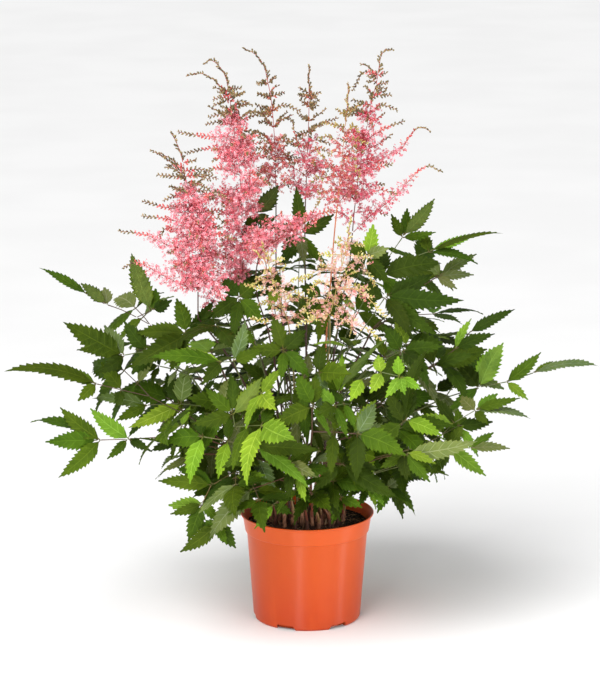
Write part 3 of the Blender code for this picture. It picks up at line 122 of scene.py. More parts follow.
LEAVES = [
    # left side, from the top down
    ("leaf_01", 3, S([(228, 425, 0), (187, 355, 6), (150, 325, 12), (138, 318, 14)], [
        S([(122, 310, 16), (108, 305, 17)], [
            S([(87, 294, 18)], [B(39, 267, 9, 12, 1)]), B(80, 283, 12, -14, 1), B(104, 287, 12, 16, 3)]),
        S([(150, 311, 8)], [B(131, 252, 22, -10, 1), B(156, 288, 14, 14, 1), B(172, 300, 12, -8, 0)])])),
    ("leaf_02", 3, S([(238, 440, -20), (190, 375, -35), (150, 352, -45)], [
        B(124, 321, 16, 14, 0), B(132, 374, 18, -20, 0),
        S([(125, 355, -50)], [B(63, 322, 24, -10, 0), B(76, 350, 12, 12, 1), B(104, 325, 16, 20, 3), B(98, 373, 13, -22, 0)])])),
    ("leaf_03", 3, S([(250, 430, -30), (222, 370, -48), (190, 336, -60)], [
        B(128, 368, 20, -26, 0), B(136, 333, 18, 6, 1), B(176, 298, 16, 22, 1), B(214, 300, 14, 6, 0), B(170, 372, 14, -6, 0)])),
    ("leaf_04", 4, S([(240, 455, -20), (195, 420, -38), (150, 397, -48), (122, 390, -52)], [
        B(116, 407, 10, -14, 0), B(101, 362, 14, 10, 1),
        S([(97, 384, -55)], [B(5, 373, 18, -6, 1), B(60, 362, 16, 14, 1), B(78, 401, 12, -16, 1)])])),
    ("leaf_05", 4, S([(256, 462, -40), (205, 438, -68), (165, 437, -78), (130, 439, -84)], [
        B(90, 408, 16, 16, 2), B(107, 459, 9, -18, 1), B(152, 452, 9, -22, 0),
        S([(101, 440, -88)], [B(45, 442, 18, -4, 1), B(60, 409, 16, 14, 1), B(58, 478, 16, -24, 1), B(30, 418, 8, 26, 1)])])),
    ("leaf_06", 4, S([(262, 462, -55), (228, 455, -90), (204, 454, -105)], [
        B(129, 449, 9, -6, 0), B(160, 470, 9, -22, 3), B(177, 433, 16, 10, 1), B(188, 419, 14, 22, 0), B(196, 480, 14, -30, 0)])),
    ("leaf_07", 4, S([(250, 440, -50), (210, 408, -80), (182, 404, -90)], [
        B(128, 428, 15, -16, 2), B(188, 366, 18, 12, 3), B(166, 372, 14, 22, 0),
        S([(148, 405, -94)], [B(92, 398, 13, -6, 3), B(116, 421, 12, -20, 1)])])),
    ("leaf_08", 4, S([(266, 478, -62), (236, 472, -100), (214, 484, -122)], [
        B(158, 481, 15, 6, 1), B(176, 467, 13, 20, 1),
        S([(203, 502, -132)], [B(168, 505, 15, 4, 2), B(170, 514, 10, -12, 1), B(188, 542, 16, -22, 1), B(220, 523, 10, -18, 1)])])),
    ("leaf_09", 4, S([(278, 482, -66), (252, 484, -104), (230, 502, -128), (219, 521, -138)], [
        B(180, 552, 15, -14, 1), B(227, 544, 10, -18, 1), B(236, 548, 14, -4, 0), B(196, 528, 11, 8, 1)])),
    ("leaf_10", 4, S([(298, 484, -62), (280, 480, -92), (255, 488, -114)], [
        B(209, 539, 21, -18, 3), B(240, 466, 12, 14, 0), B(226, 492, 12, 10, 1)])),
    ("leaf_11", 4, S([(302, 494, -62), (288, 492, -92), (274, 504, -108)], [
        B(251, 511, 9, -6, 0), B(292, 514, 10, -8, 1), B(254, 529, 8, -16, 2)])),
    # centre, in front
    ("leaf_12", 4, S([(292, 470, -80), (252, 447, -128), (236, 428, -146), (233, 415, -152)], [
        B(262, 377, 16, -12, 2), B(205, 388, 15, 8, 1), B(192, 424, 14, -14, 1), B(230, 372, 14, 18, 1)])),
    ("leaf_13", 4, S([(310, 462, -110), (312, 432, -176), (312, 408, -204)], [
        B(273, 426, 18, -14, 1), B(297, 374, 16, 12, 1), B(316, 373, 14, 22, 1), B(333, 440, 14, -22, 1), B(351, 430, 16, -8, 1)])),
    ("leaf_14", 4, S([(296, 480, -90), (272, 462, -136), (256, 447, -158)], [
        B(321, 450, 16, -10, 1), B(309, 487, 14, -24, 2), B(222, 468, 13, -12, 1), B(240, 425, 13, 12, 0)])),
    ("leaf_15", 3, S([(264, 430, -60), (246, 392, -110), (234, 362, -134)], [
        B(263, 350, 12, -8, 1), B(245, 320, 13, 14, 3),
        S([(222, 362, -138)], [B(148, 358, 16, -14, 1), B(180, 350, 11, 6, 2), B(202, 385, 14, -24, 0)])])),
    ("leaf_16", 3, S([(294, 420, -70), (291, 384, -112), (284, 352, -140)], [
        B(309, 375, 18, -20, 1), B(281, 382, 12, -26, 1), B(248, 348, 14, -4, 1), B(272, 316, 15, 16, 1), B(306, 330, 15, 10, 0)])),
    ("leaf_17", 3, S([(338, 440, -90), (350, 405, -150), (362, 380, -178)], [
        B(350, 401, 13, -14, 2),
        S([(380, 373, -184)], [B(370, 393, 13, -16, 2), B(378, 355, 12, 10, 2),
                               S([(398, 376, -188)], [B(385, 398, 11, -14, 2), B(405, 393, 10, -8, 2), B(398, 356, 11, 8, 2), B(421, 389, 9, 0, 2)])])])),
    ("leaf_18", 3, S([(334, 430, -80), (338, 394, -140)], [
        B(343, 355, 14, 6, 2), B(384, 337, 9, -14, 1), B(318, 362, 13, 16, 1), B(322, 402, 12, -18, 0)])),
    ("leaf_19", 4, S([(352, 462, -80), (382, 438, -132), (402, 424, -156)], [
        B(385, 390, 13, 4, 0), B(412, 378, 12, 16, 0), B(431, 348, 14, 28, 0), B(356, 453, 18, -22, 1), B(442, 436, 14, -14, 2)])),
    ("leaf_20", 3, S([(362, 462, -60), (408, 450, -84), (437, 438, -94), (452, 425, -98)], [
        B(411, 418, 14, -14, 2), B(436, 398, 12, 12, 0),
        S([(474, 411, -102)], [B(498, 392, 16, 8, 2), B(520, 399, 13, -6, 1), B(528, 420, 9, -16, 3), B(488, 424, 10, -20, 1), B(461, 396, 14, 18, 3)])])),
    ("leaf_21", 4, S([(350, 474, -90), (380, 458, -146), (402, 454, -172)], [
        B(478, 441, 20, -10, 3), B(430, 482, 13, -22, 1), B(407, 480, 14, -14, 0), B(380, 468, 10, -4, 1), B(436, 464, 10, -16, 2)])),
    ("leaf_22", 4, S([(364, 476, -56), (415, 459, -88), (448, 449, -102)], [
        B(486, 476, 14, -18, 2), B(464, 425, 12, 10, 1), B(430, 476, 12, -10, 0), S([(470, 448, -106)], [B(510, 449, 9, -6, 3), B(494, 432, 9, 10, 1)])])),
    ("leaf_23", 4, S([(324, 462, -84), (340, 464, -118)], [
        B(380, 470, 12, 4, 0), B(384, 481, 13, -10, 0), B(399, 498, 16, -20, 0), B(312, 492, 12, -16, 0), B(366, 446, 13, 16, 0)])),
    ("leaf_24", 3, S([(356, 420, -36), (395, 388, -50), (433, 366, -58)], [
        B(476, 354, 12, -8, 0), B(420, 330, 12, 14, 0),
        S([(455, 349, -62)], [B(471, 319, 11, 10, 2), B(495, 334, 12, -6, 0), S([(470, 332, -60)], [B(515, 309, 11, 6, 0)])])])),
    ("leaf_25", 3, S([(350, 448, -26), (400, 418, -32), (445, 398, -32), (477, 388, -30)], [
        B(456, 363, 18, 12, 0), B(504, 342, 22, -8, 2), B(448, 412, 11, -18, 1),
        S([(506, 382, -26)], [B(541, 352, 13, 8, 1), B(528, 400, 9, -14, 2),
                              S([(533, 373, -24)], [B(598, 369, 11, -8, 3), B(554, 357, 8, 10, 1)])])])),
    ("leaf_26", 2, S([(326, 420, -30), (346, 355, -56), (384, 299, -76)], [
        B(458, 300, 26, -12, 0), B(433, 273, 24, 14, 0), B(437, 327, 22, -22, 0), B(414, 342, 20, -32, 0), B(352, 282, 16, 10, 0)])),
    ("leaf_27", 2, S([(324, 410, 10), (346, 335, 14), (382, 267, 14)], [
        S([(402, 238, 16)], [B(407, 208, 12, 12, 1), B(435, 198, 16, -6, 1), B(436, 232, 9, -14, 1), B(391, 214, 10, 2, 1)]),
        S([(410, 258, 10), (428, 252, 8)], [B(473, 226, 22, 8, 2), B(503, 240, 14, -10, 1), B(478, 262, 10, -16, 1), B(424, 232, 12, 14, 1)])])),
    ("leaf_28", 2, S([(332, 415, 30), (372, 330, 40), (414, 291, 42), (437, 277, 42)], [
        B(423, 259, 14, 10, 3), B(477, 254, 12, 4, 3), B(474, 275, 10, -12, 3), B(457, 289, 9, -20, 3), B(404, 276, 10, -6, 1)])),
    ("leaf_29", 2, S([(320, 415, -20), (336, 335, -32), (352, 290, -36), (366, 258, -34)], [
        B(373, 224, 14, 8, 2), B(389, 248, 12, -6, 3), B(390, 284, 15, -20, 0), B(344, 244, 14, 6, 1), B(340, 284, 14, -14, 0)])),
    ("leaf_30", 2, S([(290, 400, 40), (273, 300, 34), (262, 245, 30), (257, 215, 30)], [
        B(278, 185, 17, -8, 0), B(242, 236, 12, -12, 0), B(274, 232, 13, 10, 0)])),
    ("leaf_31", 2, S([(300, 390, 20), (298, 300, 10), (300, 238, 4)], [
        B(305, 268, 18, -24, 3), B(283, 262, 18, -14, 0), B(268, 226, 15, 8, 0), B(326, 262, 16, -12, 1), B(334, 214, 14, 12, 0), B(296, 186, 13, 22, 0)])),
    ("leaf_32", 3, S([(272, 400, -20), (252, 330, -48), (240, 300, -56)], [
        B(262, 322, 20, -20, 1), B(256, 284, 18, 6, 1), B(222, 278, 14, 10, 0), B(208, 318, 18, -16, 0), B(232, 340, 15, -30, 0)])),
    ("leaf_33", 2, S([(314, 400, -40), (318, 340, -76), (322, 300, -84)], [
        B(352, 330, 18, -20, 0), B(290, 322, 17, -10, 0), B(318, 345, 16, -32, 1), B(350, 296, 15, 4, 0), B(300, 286, 14, 12, 1)])),
    ("leaf_34", 2, S([(334, 410, -30), (366, 370, -70), (400, 352, -92)], [
        B(442, 346, 17, -14, 1), B(424, 372, 16, -26, 0), B(384, 326, 15, 8, 0), B(372, 392, 14, -20, 0)])),
]

# leaves behind and inside, each by the bearing it leans to (0 front, 90
# right, 180 back), how far out and how high its blade starts, and its size
ROUND_LEAVES = [
    ("leaf_35", 180, 0.100, 0.360, 1.00), ("leaf_36", 205, 0.150, 0.300, 1.05),
    ("leaf_37", 152, 0.150, 0.300, 1.05), ("leaf_38", 232, 0.140, 0.330, 0.95),
    ("leaf_39", 126, 0.140, 0.330, 0.95), ("leaf_40", 192, 0.150, 0.215, 1.00),
    ("leaf_41", 165, 0.140, 0.235, 1.00), ("leaf_42", 222, 0.145, 0.220, 0.95),
    ("leaf_43", 138, 0.145, 0.225, 0.95), ("leaf_44", 246, 0.110, 0.375, 0.85),
    ("leaf_45", 112, 0.110, 0.375, 0.85), ("leaf_46", 180, 0.145, 0.290, 1.00),
    ("leaf_47", 212, 0.060, 0.430, 0.85), ("leaf_48", 150, 0.060, 0.430, 0.85),
]

# --------------------------------------------------------------- the plumes
# name, base ring, axis from below to the tip, side branches (axis height v
# where each leaves, its points out to the tip), and bloom: 0 buds, 1 pink,
# 2 cream.
PLUMES = [
    ("plume_01", 1, [(243, 317, -6), (243, 281, -8), (242, 245, -10), (242, 212, -10), (240, 174, -10), (236, 143, -8),
                     (232, 115, -6), (229, 92, -5), (226, 78, -4), (219, 66, -3), (211, 60, -2), (204, 64, -2)],
     [(288, [(226, 276, -30), (212, 290, -40), (207, 318, -46)], 1), (262, [(264, 250, -20), (283, 236, -30)], 1),
      (250, [(226, 262, -44), (218, 272, -50)], 1), (240, [(256, 252, -36), (262, 262, -40)], 1),
      (222, [(222, 222, -50)], 1), (212, [(262, 205, 30)], 1), (200, [(214, 196, 26), (204, 200, 34)], 1),
      (192, [(262, 178, -36), (270, 184, -42)], 1), (176, [(214, 168, -34), (205, 172, -40)], 1),
      (166, [(262, 156, 20), (276, 160, 30)], 1), (154, [(214, 148, 20), (186, 153, 34)], 1),
      (146, [(256, 136, -24), (268, 142, -30)], 1), (138, [(205, 136, -24), (178, 132, -34)], 1),
      (126, [(252, 116, 16), (267, 112, 22)], 0), (124, [(218, 122, 16), (206, 124, 22)], 0),
      (112, [(209, 117, -16)], 0), (104, [(240, 101, -10), (252, 105, -16)], 0),
      (100, [(214, 105, 8)], 0), (92, [(213, 79, -8), (199, 73, -12), (187, 76, -12)], 0), (90, [(241, 88, 8)], 0)], 1),
    ("plume_02", 1, [(276, 280, 26), (276, 212, 30), (276, 185, 32), (275, 165, 34), (275, 147, 34), (274, 130, 34), (272, 105, 34),
                     (270, 92, 34), (267, 78, 34), (264, 66, 34), (255, 54, 34), (243, 48, 34)],
     [(190, [(288, 178, 10), (284, 182, 6)], 1), (178, [(262, 170, 54), (258, 176, 60)], 1),
      (168, [(288, 158, 54), (292, 166, 60)], 1), (158, [(260, 148, 14), (252, 150, 6)], 1),
      (148, [(284, 136, 20), (290, 142, 12)], 0), (140, [(258, 132, 48), (250, 136, 56)], 0),
      (128, [(286, 118, 50), (294, 122, 58)], 0), (122, [(258, 112, 22), (243, 115, 14)], 0),
      (112, [(284, 105, 20), (300, 111, 12)], 0), (104, [(256, 105, 46)], 0), (98, [(284, 92, 44)], 0),
      (96, [(258, 94, 26)], 0), (84, [(276, 76, 28)], 0), (84, [(257, 83, 40)], 0)], 0),
    ("plume_03", 0, [(305, 260, 44), (305, 215, 48), (306, 189, 50), (307, 165, 50), (308, 140, 50), (309, 112, 50), (309, 84, 50), (309, 65, 50)],
     [(196, [(318, 186, 26), (324, 192, 20)], 1), (188, [(292, 178, 70), (288, 186, 78)], 1),
      (176, [(322, 164, 72), (328, 170, 80)], 1), (166, [(297, 142, 34), (292, 120, 28)], 1),
      (156, [(320, 148, 30), (328, 152, 22)], 1), (146, [(296, 132, 68)], 0),
      (134, [(320, 124, 66), (338, 118, 76)], 0), (122, [(298, 114, 36)], 0), (114, [(326, 109, 42)], 0),
      (108, [(300, 100, 60)], 0), (103, [(319, 100, 60)], 0), (99, [(298, 95, 40)], 0), (97, [(320, 92, 40)], 0), (94, [(299, 88, 58)], 0)], 0),
    ("plume_04", 1, [(330, 290, -20), (334, 238, -24), (337, 208, -24), (339, 190, -24), (341, 172, -22), (343, 149, -20), (346, 120, -18), (348, 100, -16), (348, 83, -16)],
     [(204, [(322, 198, -46), (316, 206, -54)], 1), (196, [(354, 188, -2), (358, 196, 4)], 1),
      (188, [(320, 176, 2), (312, 182, 10)], 1), (178, [(356, 168, -46), (360, 176, -52)], 1),
      (170, [(324, 158, -44), (318, 152, -50)], 1), (158, [(356, 146, 6), (362, 152, 12)], 1),
      (148, [(328, 136, 2), (320, 138, 8)], 1), (138, [(354, 126, -40), (358, 132, -46)], 0),
      (128, [(330, 124, -38), (322, 122, -44)], 0), (116, [(336, 109, -8)], 0), (112, [(358, 106, -6)], 0)], 0),
    ("plume_05", 1, [(350, 262, 6), (354, 214, 8), (357, 188, 10), (360, 168, 10), (363, 145, 10), (368, 120, 10), (372, 100, 10), (376, 85, 10),
                     (379, 68, 10), (381, 56, 10), (386, 49, 10), (393, 50, 10)],
     [(233, [(371, 215, -8), (388, 202, -14), (403, 188, -16), (412, 177, -16), (428, 166, -16), (442, 172, -16)], 1),
      (203, [(364, 196, -16), (380, 190, -24), (396, 194, -28)], 1), (196, [(372, 186, 30), (384, 184, 38)], 1),
      (188, [(344, 180, 26), (340, 186, 32)], 1), (178, [(376, 168, -20), (392, 164, -26)], 1),
      (172, [(386, 156, 8), (402, 148, 4), (410, 136, 2), (420, 127, 0), (430, 131, 0)], 1),
      (164, [(346, 156, -16), (342, 162, -22)], 1), (152, [(382, 142, 32), (392, 134, 36)], 1),
      (142, [(386, 128, -14), (404, 121, -20)], 1), (136, [(352, 128, 34)], 1), (126, [(384, 114, 26)], 1),
      (116, [(355, 108, -12)], 0), (112, [(382, 105, -10), (397, 110, -16)], 0), (106, [(353, 100, 24)], 0),
      (96, [(391, 95, 20)], 0), (92, [(365, 86, -6)], 0), (86, [(388, 82, -4)], 0),
      (74, [(364, 72, 4), (353, 90, 0)], 0), (76, [(386, 73, 18)], 0)], 1),
    ("plume_06", 2, [(198, 318, -62), (198, 285, -60), (197, 262, -58), (194, 239, -56), (190, 212, -54), (188, 195, -52), (185, 172, -50), (182, 158, -50), (178, 146, -50), (171, 132, -50)],
     [(292, [(172, 280, -84), (150, 268, -96), (136, 262, -100), (123, 268, -102)], 1), (280, [(216, 284, -88), (222, 300, -96)], 1),
      (270, [(178, 262, -20), (172, 272, -12)], 1), (262, [(222, 252, -24), (236, 262, -14)], 1),
      (254, [(165, 244, -84), (146, 235, -92), (119, 231, -96)], 1), (244, [(220, 234, -88), (234, 240, -94)], 1),
      (236, [(166, 228, -24), (160, 236, -18)], 1), (226, [(162, 218, -76), (142, 216, -84)], 1),
      (220, [(218, 210, -20), (230, 214, -12)], 1), (212, [(160, 206, -44), (143, 201, -42)], 1),
      (204, [(216, 192, -80), (226, 198, -88)], 1), (196, [(170, 186, -72)], 0), (190, [(206, 174, -30)], 0),
      (178, [(158, 175, -66)], 0), (170, [(165, 158, -36), (151, 150, -34)], 0), (164, [(196, 160, -64)], 0)], 1),
    ("plume_07", 2, [(330, 345, -104), (330, 316, -106), (335, 295, -106), (339, 278, -106), (344, 258, -104), (348, 238, -102), (351, 217, -100)],
     [(316, [(350, 322, -128), (366, 328, -138), (381, 340, -144)], 2), (312, [(312, 318, -128), (296, 326, -138)], 2),
      (304, [(352, 318, -84), (350, 336, -80)], 2), (300, [(312, 300, -84), (302, 312, -78)], 2),
      (290, [(358, 290, -126), (372, 302, -136), (385, 317, -142)], 2), (284, [(318, 282, -126), (308, 292, -134)], 2),
      (272, [(324, 268, -82), (300, 281, -74)], 2), (266, [(360, 262, -84), (375, 285, -80)], 2),
      (256, [(372, 257, -122)], 2), (254, [(319, 254, -120)], 2), (244, [(364, 245, -88)], 2), (242, [(338, 238, -86)], 2)], 2),
    ("plume_08", 2, [(292, 345, -92), (288, 322, -94), (281, 304, -94), (275, 286, -92), (270, 270, -90), (266, 256, -90), (262, 242, -90)],
     [(322, [(270, 322, -116), (251, 318, -124)], 2), (318, [(306, 312, -114), (318, 320, -122)], 2),
      (308, [(268, 302, -70), (253, 306, -62)], 2), (304, [(300, 296, -72), (312, 302, -64)], 2),
      (292, [(258, 288, -112), (245, 285, -118)], 2), (290, [(294, 280, -112), (306, 276, -118)], 2),
      (276, [(256, 278, -72)], 2), (274, [(286, 266, -74)], 2), (264, [(284, 258, -110)], 2), (256, [(254, 250, -84)], 2)], 2),
]
PLUMES.append(
    ("plume_09", 2, [(268, 330, -44), (256, 286, -50), (262, 251, -54), (274, 242, -56), (283, 236, -58), (300, 226, -58), (318, 214, -56), (334, 211, -54)],
     [(246, [(262, 236, -70), (252, 228, -76)], 1), (240, [(270, 228, -44), (266, 218, -36)], 1),
      (235, [(280, 222, -72), (282, 212, -80)], 1), (231, [(282, 240, -44), (276, 236, -34)], 1),
      (228, [(296, 238, -70), (294, 242, -76)], 1), (222, [(300, 212, -48)], 1), (219, [(316, 226, -68)], 1)], 1))

# ------------------------------------------------------- where stalks begin
# Rings of footings on the crown: flower stems near the middle, the low outer
# leaves near its edge.
RINGS = [(0.0085, 3), (0.0180, 9), (0.0275, 14), (0.0370, 19), (0.0460, 19)]


def bearing(p):
    return math.atan2(p.x, -p.y)


def crown_top(r):
    r = max(0.0, r - 0.0024)
    return SOIL_Z + CLEAR + CROWN_H * math.sqrt(max(0.0, 1.0 - (r / CROWN_R) ** 2)) + CLEAR


def give_footings():
    slots = []
    for ring, (r, n) in enumerate(RINGS):
        for i in range(n):
            a = 2 * math.pi * (i + 0.5 * (ring % 2)) / n
            slots.append([ring, a, Vector((r * math.sin(a), -r * math.cos(a), crown_top(r))), None])
    wants = [(name, ring, bearing(place(*axis[2]))) for name, ring, axis, side, kind in PLUMES]
    wants += [(name, ring, bearing(place(*tree[1][-1]))) for name, ring, tree in LEAVES]
    wants += [(name, 4 if h < 0.25 else 3, math.radians(az)) for name, az, reach, h, size in ROUND_LEAVES]
    got = {}
    for name, ring, a in wants:
        best = min((s for s in slots if s[3] is None),
                   key=lambda s: abs(s[0] - ring) * 0.4 + abs(math.atan2(math.sin(s[1] - a), math.cos(s[1] - a))))
        best[3] = name
        got[name] = best[2]
    return got


# ------------------------------------------------------------- the skeleton
# A plant piece is grown as one open ribbon that forks: every stalk is a strip
# of triangles, and every leaflet or flower spike starts on the end or the side of
# the stalk that carries it.  walls() closes it round with its thickness where pieces are kept apart.
class Ribbon:
    def __init__(self):
        self.co, self.faces, self.half = [], [], []
        self.stalks, self.blades, self.spikes, self.limbs = [], [], [], []
        self.pace = 1.0

    def point(self, p, half):
        self.co.append(Vector(p))
        self.half.append(half)
        return len(self.co) - 1

    def across(self, a, b, c, s, hw, half):
        l = self.point(c - s * hw, half)
        r = self.point(c + s * hw, half)
        self.faces += [(a, b, r), (a, r, l)]
        return l, r


def side_of(d, facing, last=None):
    s = d.cross(facing) if last is None else last - d * last.dot(d)
    if s.length < 1e-3:
        s = d.orthogonal()
    return s.normalized()


def grow_stalk(rib, a, b, pts, hw0, hw1, kids, facing, side=None):
    first = (rib.co[a] + rib.co[b]) * 0.5
    line = [first] + list(pts)
    n = len(line)
    radii = []
    for i in range(1, n):
        ahead = line[min(i + 1, n - 1)] - line[i - 1]
        d = ahead.normalized()
        side = side_of(d, facing, side)
        if i == 1 and side.dot(rib.co[b] - rib.co[a]) < 0:
            side = -side
        hw = hw0 + (hw1 - hw0) * i / (n - 1)
        radii.append(hw)
        a, b = rib.across(a, b, line[i], side, hw, hw)
    node = line[-1]
    d = (line[-1] - line[-2]).normalized()
    rib.stalks.append((line, [hw0] + radii))
    if not kids:
        return
    aimed = []
    for kid in kids:
        goal = kid[1] if kid[0] == "B" else kid[1][0]
        k = (goal - node)
        aimed.append((k.normalized().dot(d), k.dot(side), kid))
    end = max(aimed, key=lambda t: t[0])
    if end[0] < 0.35:
        end = None
    left = sorted([t for t in aimed if t is not end and t[1] < 0], key=lambda t: t[0])
    right = sorted([t for t in aimed if t is not end and t[1] >= 0], key=lambda t: t[0])
    step = max(0.0026, 2.2 * hw1) * rib.pace
    starts = []
    for j in range(max(len(left), len(right))):
        c = node + d * step * (j + 1)
        l, r = rib.across(a, b, c, side, hw1, hw1)
        if j < len(left):
            starts.append((a, l, left[j][2]))
        if j < len(right):
            starts.append((r, b, right[j][2]))
        a, b = l, r
    if end is not None:
        starts.append((a, b, end[2]))
    for a, b, kid in starts:
        if kid[0] == "S":
            grow_stalk(rib, a, b, kid[1], max(0.0006, hw1 * 0.92), max(0.0006, hw1 * 0.8), kid[2], facing)
        elif kid[0] == "B":
            grow_blade(rib, a, b, kid)
        else:
            grow_spike(rib, a, b, kid, facing)


def grow_blade(rib, a, b, kid):
    tip, width, side, tone = kid[1], kid[2], kid[3], kid[4]
    base = (rib.co[a] + rib.co[b]) * 0.5
    axis = tip - base
    d = axis.normalized()
    s = side - d * side.dot(d)
    s = s.normalized() if s.length > 1e-4 else d.orthogonal().normalized()
    up = s.cross(d)
    if up.z < 0:
        up = -up
    rib.blades.append((base, tip, s, up, width, tone))
    if s.dot(rib.co[b] - rib.co[a]) < 0:
        s = -s
    first = len(rib.faces)
    c = base + axis * 0.40 + up * (0.30 * axis.length * 0.24)
    l, r = rib.across(a, b, c, s, width * 0.5, BLADE_HALF)
    t = rib.point(tip, BLADE_HALF)
    rib.faces.append((l, r, t))
    rib.limbs.append((first, len(rib.faces), ((l, 0.4), (r, 0.4), (t, 1.0)), up, "B", len(rib.blades) - 1))


def grow_spike(rib, a, b, kid, facing):
    pts, width, bloom = kid[1], kid[2], kid[3]
    base = (rib.co[a] + rib.co[b]) * 0.5
    line = [base] + list(pts)
    rib.spikes.append((line, width, bloom))
    if len(line) == 2:
        line = [base, base.lerp(line[1], 0.45), line[1]]
    side = None
    n = len(line)
    first = len(rib.faces)
    moved = []
    for i in range(1, n - 1):
        d = (line[i + 1] - line[i - 1]).normalized()
        side = side_of(d, facing, side)
        if i == 1 and side.dot(rib.co[b] - rib.co[a]) < 0:
            side = -side
        hw = width * 0.5 * (1.0 - 0.45 * (i - 1) / max(1, n - 2))
        a, b = rib.across(a, b, line[i], side, hw, min(SPIKE_HALF, hw))
        moved += [(a, i / (n - 1)), (b, i / (n - 1))]
    t = rib.point(line[-1], 0.0008)
    rib.faces.append((a, b, t))
    moved.append((t, 1.0))
    rib.limbs.append((first, len(rib.faces), tuple(moved), AHEAD.copy(), "F", len(rib.spikes) - 1))


# ------------------------------------------------------- walls and crossings
def walls(rib, extra):
    """Closed walls round the ribbon, and the ribbon face that each is from."""
    n = len(rib.co)
    normal = [Vector() for _ in rib.co]
    for f in rib.faces:
        p = [rib.co[i] for i in f]
        nf = (p[1] - p[0]).cross(p[2] - p[0])
        if nf.length > 0:
            nf.normalize()
        for i, q in enumerate(f):
            one, two = p[(i + 1) % 3] - p[i], p[(i + 2) % 3] - p[i]
            normal[q] += nf * (one.angle(two) if one.length > 1e-9 and two.length > 1e-9 else 0.0)
    co = []
    for sign in (1, -1):
        for i, p in enumerate(rib.co):
            m = normal[i].normalized() if normal[i].length > 1e-6 else Vector((0, 0, 1))
            co.append(p + m * sign * (rib.half[i] + extra))
    faces = [tuple(f) for f in rib.faces] + [tuple(i + n for i in reversed(f)) for f in rib.faces]
    owner = list(range(len(rib.faces))) * 2
    used = {}
    for k, f in enumerate(rib.faces):
        for i, j in zip(f, f[1:] + f[:1]):
            used[(i, j)] = k
    for (i, j), k in list(used.items()):
        if (j, i) not in used:
            faces.append((j, i, i + n, j + n))
            owner.append(k)
    return co, faces, owner


def tree_of(co, faces):
    return BVHTree.FromPolygons(co, faces, epsilon=0.0)


def space(rib, extra):
    co, faces, owner = walls(rib, extra)
    return tree_of(co, faces)


def triangles(rib):
    co, faces, owner = walls(rib, 0.0)
    return sum(len(f) - 2 for f in faces)


def crossings(rib):
    co, faces, owner = walls(rib, 0.0)
    tree = tree_of(co, faces)
    out = []
    for i, j in tree.overlap(tree):
        f, g = owner[i], owner[j]
        if i < j and f != g and not set(rib.faces[f]) & set(rib.faces[g]):
            out.append((f, g))
    return sorted(set(out))


def untangle(rib):
    """Leaflets or spikes of one piece that cross are tipped apart about their
    bases; those that still cross are made narrower."""
    which = {}
    for n, limb in enumerate(rib.limbs):
        for f in range(limb[0], limb[1]):
            which[f] = n

    def middle(f):
        return sum((rib.co[i] for i in rib.faces[f]), Vector()) / len(rib.faces[f])

    def heart(n):
        pts = [rib.co[i] for i, w in rib.limbs[n][2]]
        return sum(pts, Vector()) / len(pts)

    pairs = crossings(rib)
    for turn in range(26):
        if not pairs:
            break
        moves = {}
        seen_pairs = set()
        for f, g in pairs:
            m, n = which.get(f), which.get(g)
            if (m, n) in seen_pairs or m == n:
                continue
            seen_pairs.add((m, n))
            if m is not None and n is not None:
                um, un = rib.limbs[m][3], rib.limbs[n][3]
                d = (um + un if um.dot(un) >= 0 else um - un).normalized()
                sign = 1 if (heart(m) - heart(n)).dot(d) >= 0 else -1
                moves[m] = moves.get(m, Vector()) + d * sign
                moves[n] = moves.get(n, Vector()) - d * sign
            else:
                k, other = (m, g) if m is not None else (n, f)
                d = rib.limbs[k][3]
                sign = 1 if (heart(k) - middle(other)).dot(d) >= 0 else -1
                moves[k] = moves.get(k, Vector()) + d * sign
        for n in sorted(moves):
            limb = rib.limbs[n]
            if turn % 3 < 2 and turn < 18:
                step = moves[n].normalized() * 0.0022 if moves[n].length > 1e-6 else limb[3] * 0.0011
                for i, w in limb[2]:
                    rib.co[i] += step * w
            else:
                rows = limb[2][:-1]
                for (l, wl), (r, wr) in zip(rows[::2], rows[1::2]):
                    c = (rib.co[l] + rib.co[r]) * 0.5
                    rib.co[l] = c + (rib.co[l] - c) * 0.86
                    rib.co[r] = c + (rib.co[r] - c) * 0.86
        pairs = crossings(rib)
    for first, last, moved, up, kind, entry in rib.limbs:
        if kind == "B":
            base, tip, s, up, width, tone = rib.blades[entry]
            l, r = rib.co[moved[0][0]], rib.co[moved[1][0]]
            tip = rib.co[moved[-1][0]].copy()
            d = (tip - base).normalized()
            s2 = r - l
            if s2.dot(s) < 0:
                s2 = -s2
            width = s2.length
            s2 = (s2 - d * s2.dot(d)).normalized()
            up2 = s2.cross(d)
            if up2.z < 0:
                up2 = -up2
            rib.blades[entry] = (base, tip, s2, up2, width, tone)
        else:
            line, width, bloom = rib.spikes[entry]
            rows = moved[:-1]
            mids = [(rib.co[l] + rib.co[r]) * 0.5 for (l, wl), (r, wr) in zip(rows[::2], rows[1::2])]
            rib.spikes[entry] = ([line[0]] + mids + [rib.co[moved[-1][0]].copy()], width, bloom)
    return len(pairs)


# ------------------------------------------------- from elevation to metres
FACING = -AHEAD


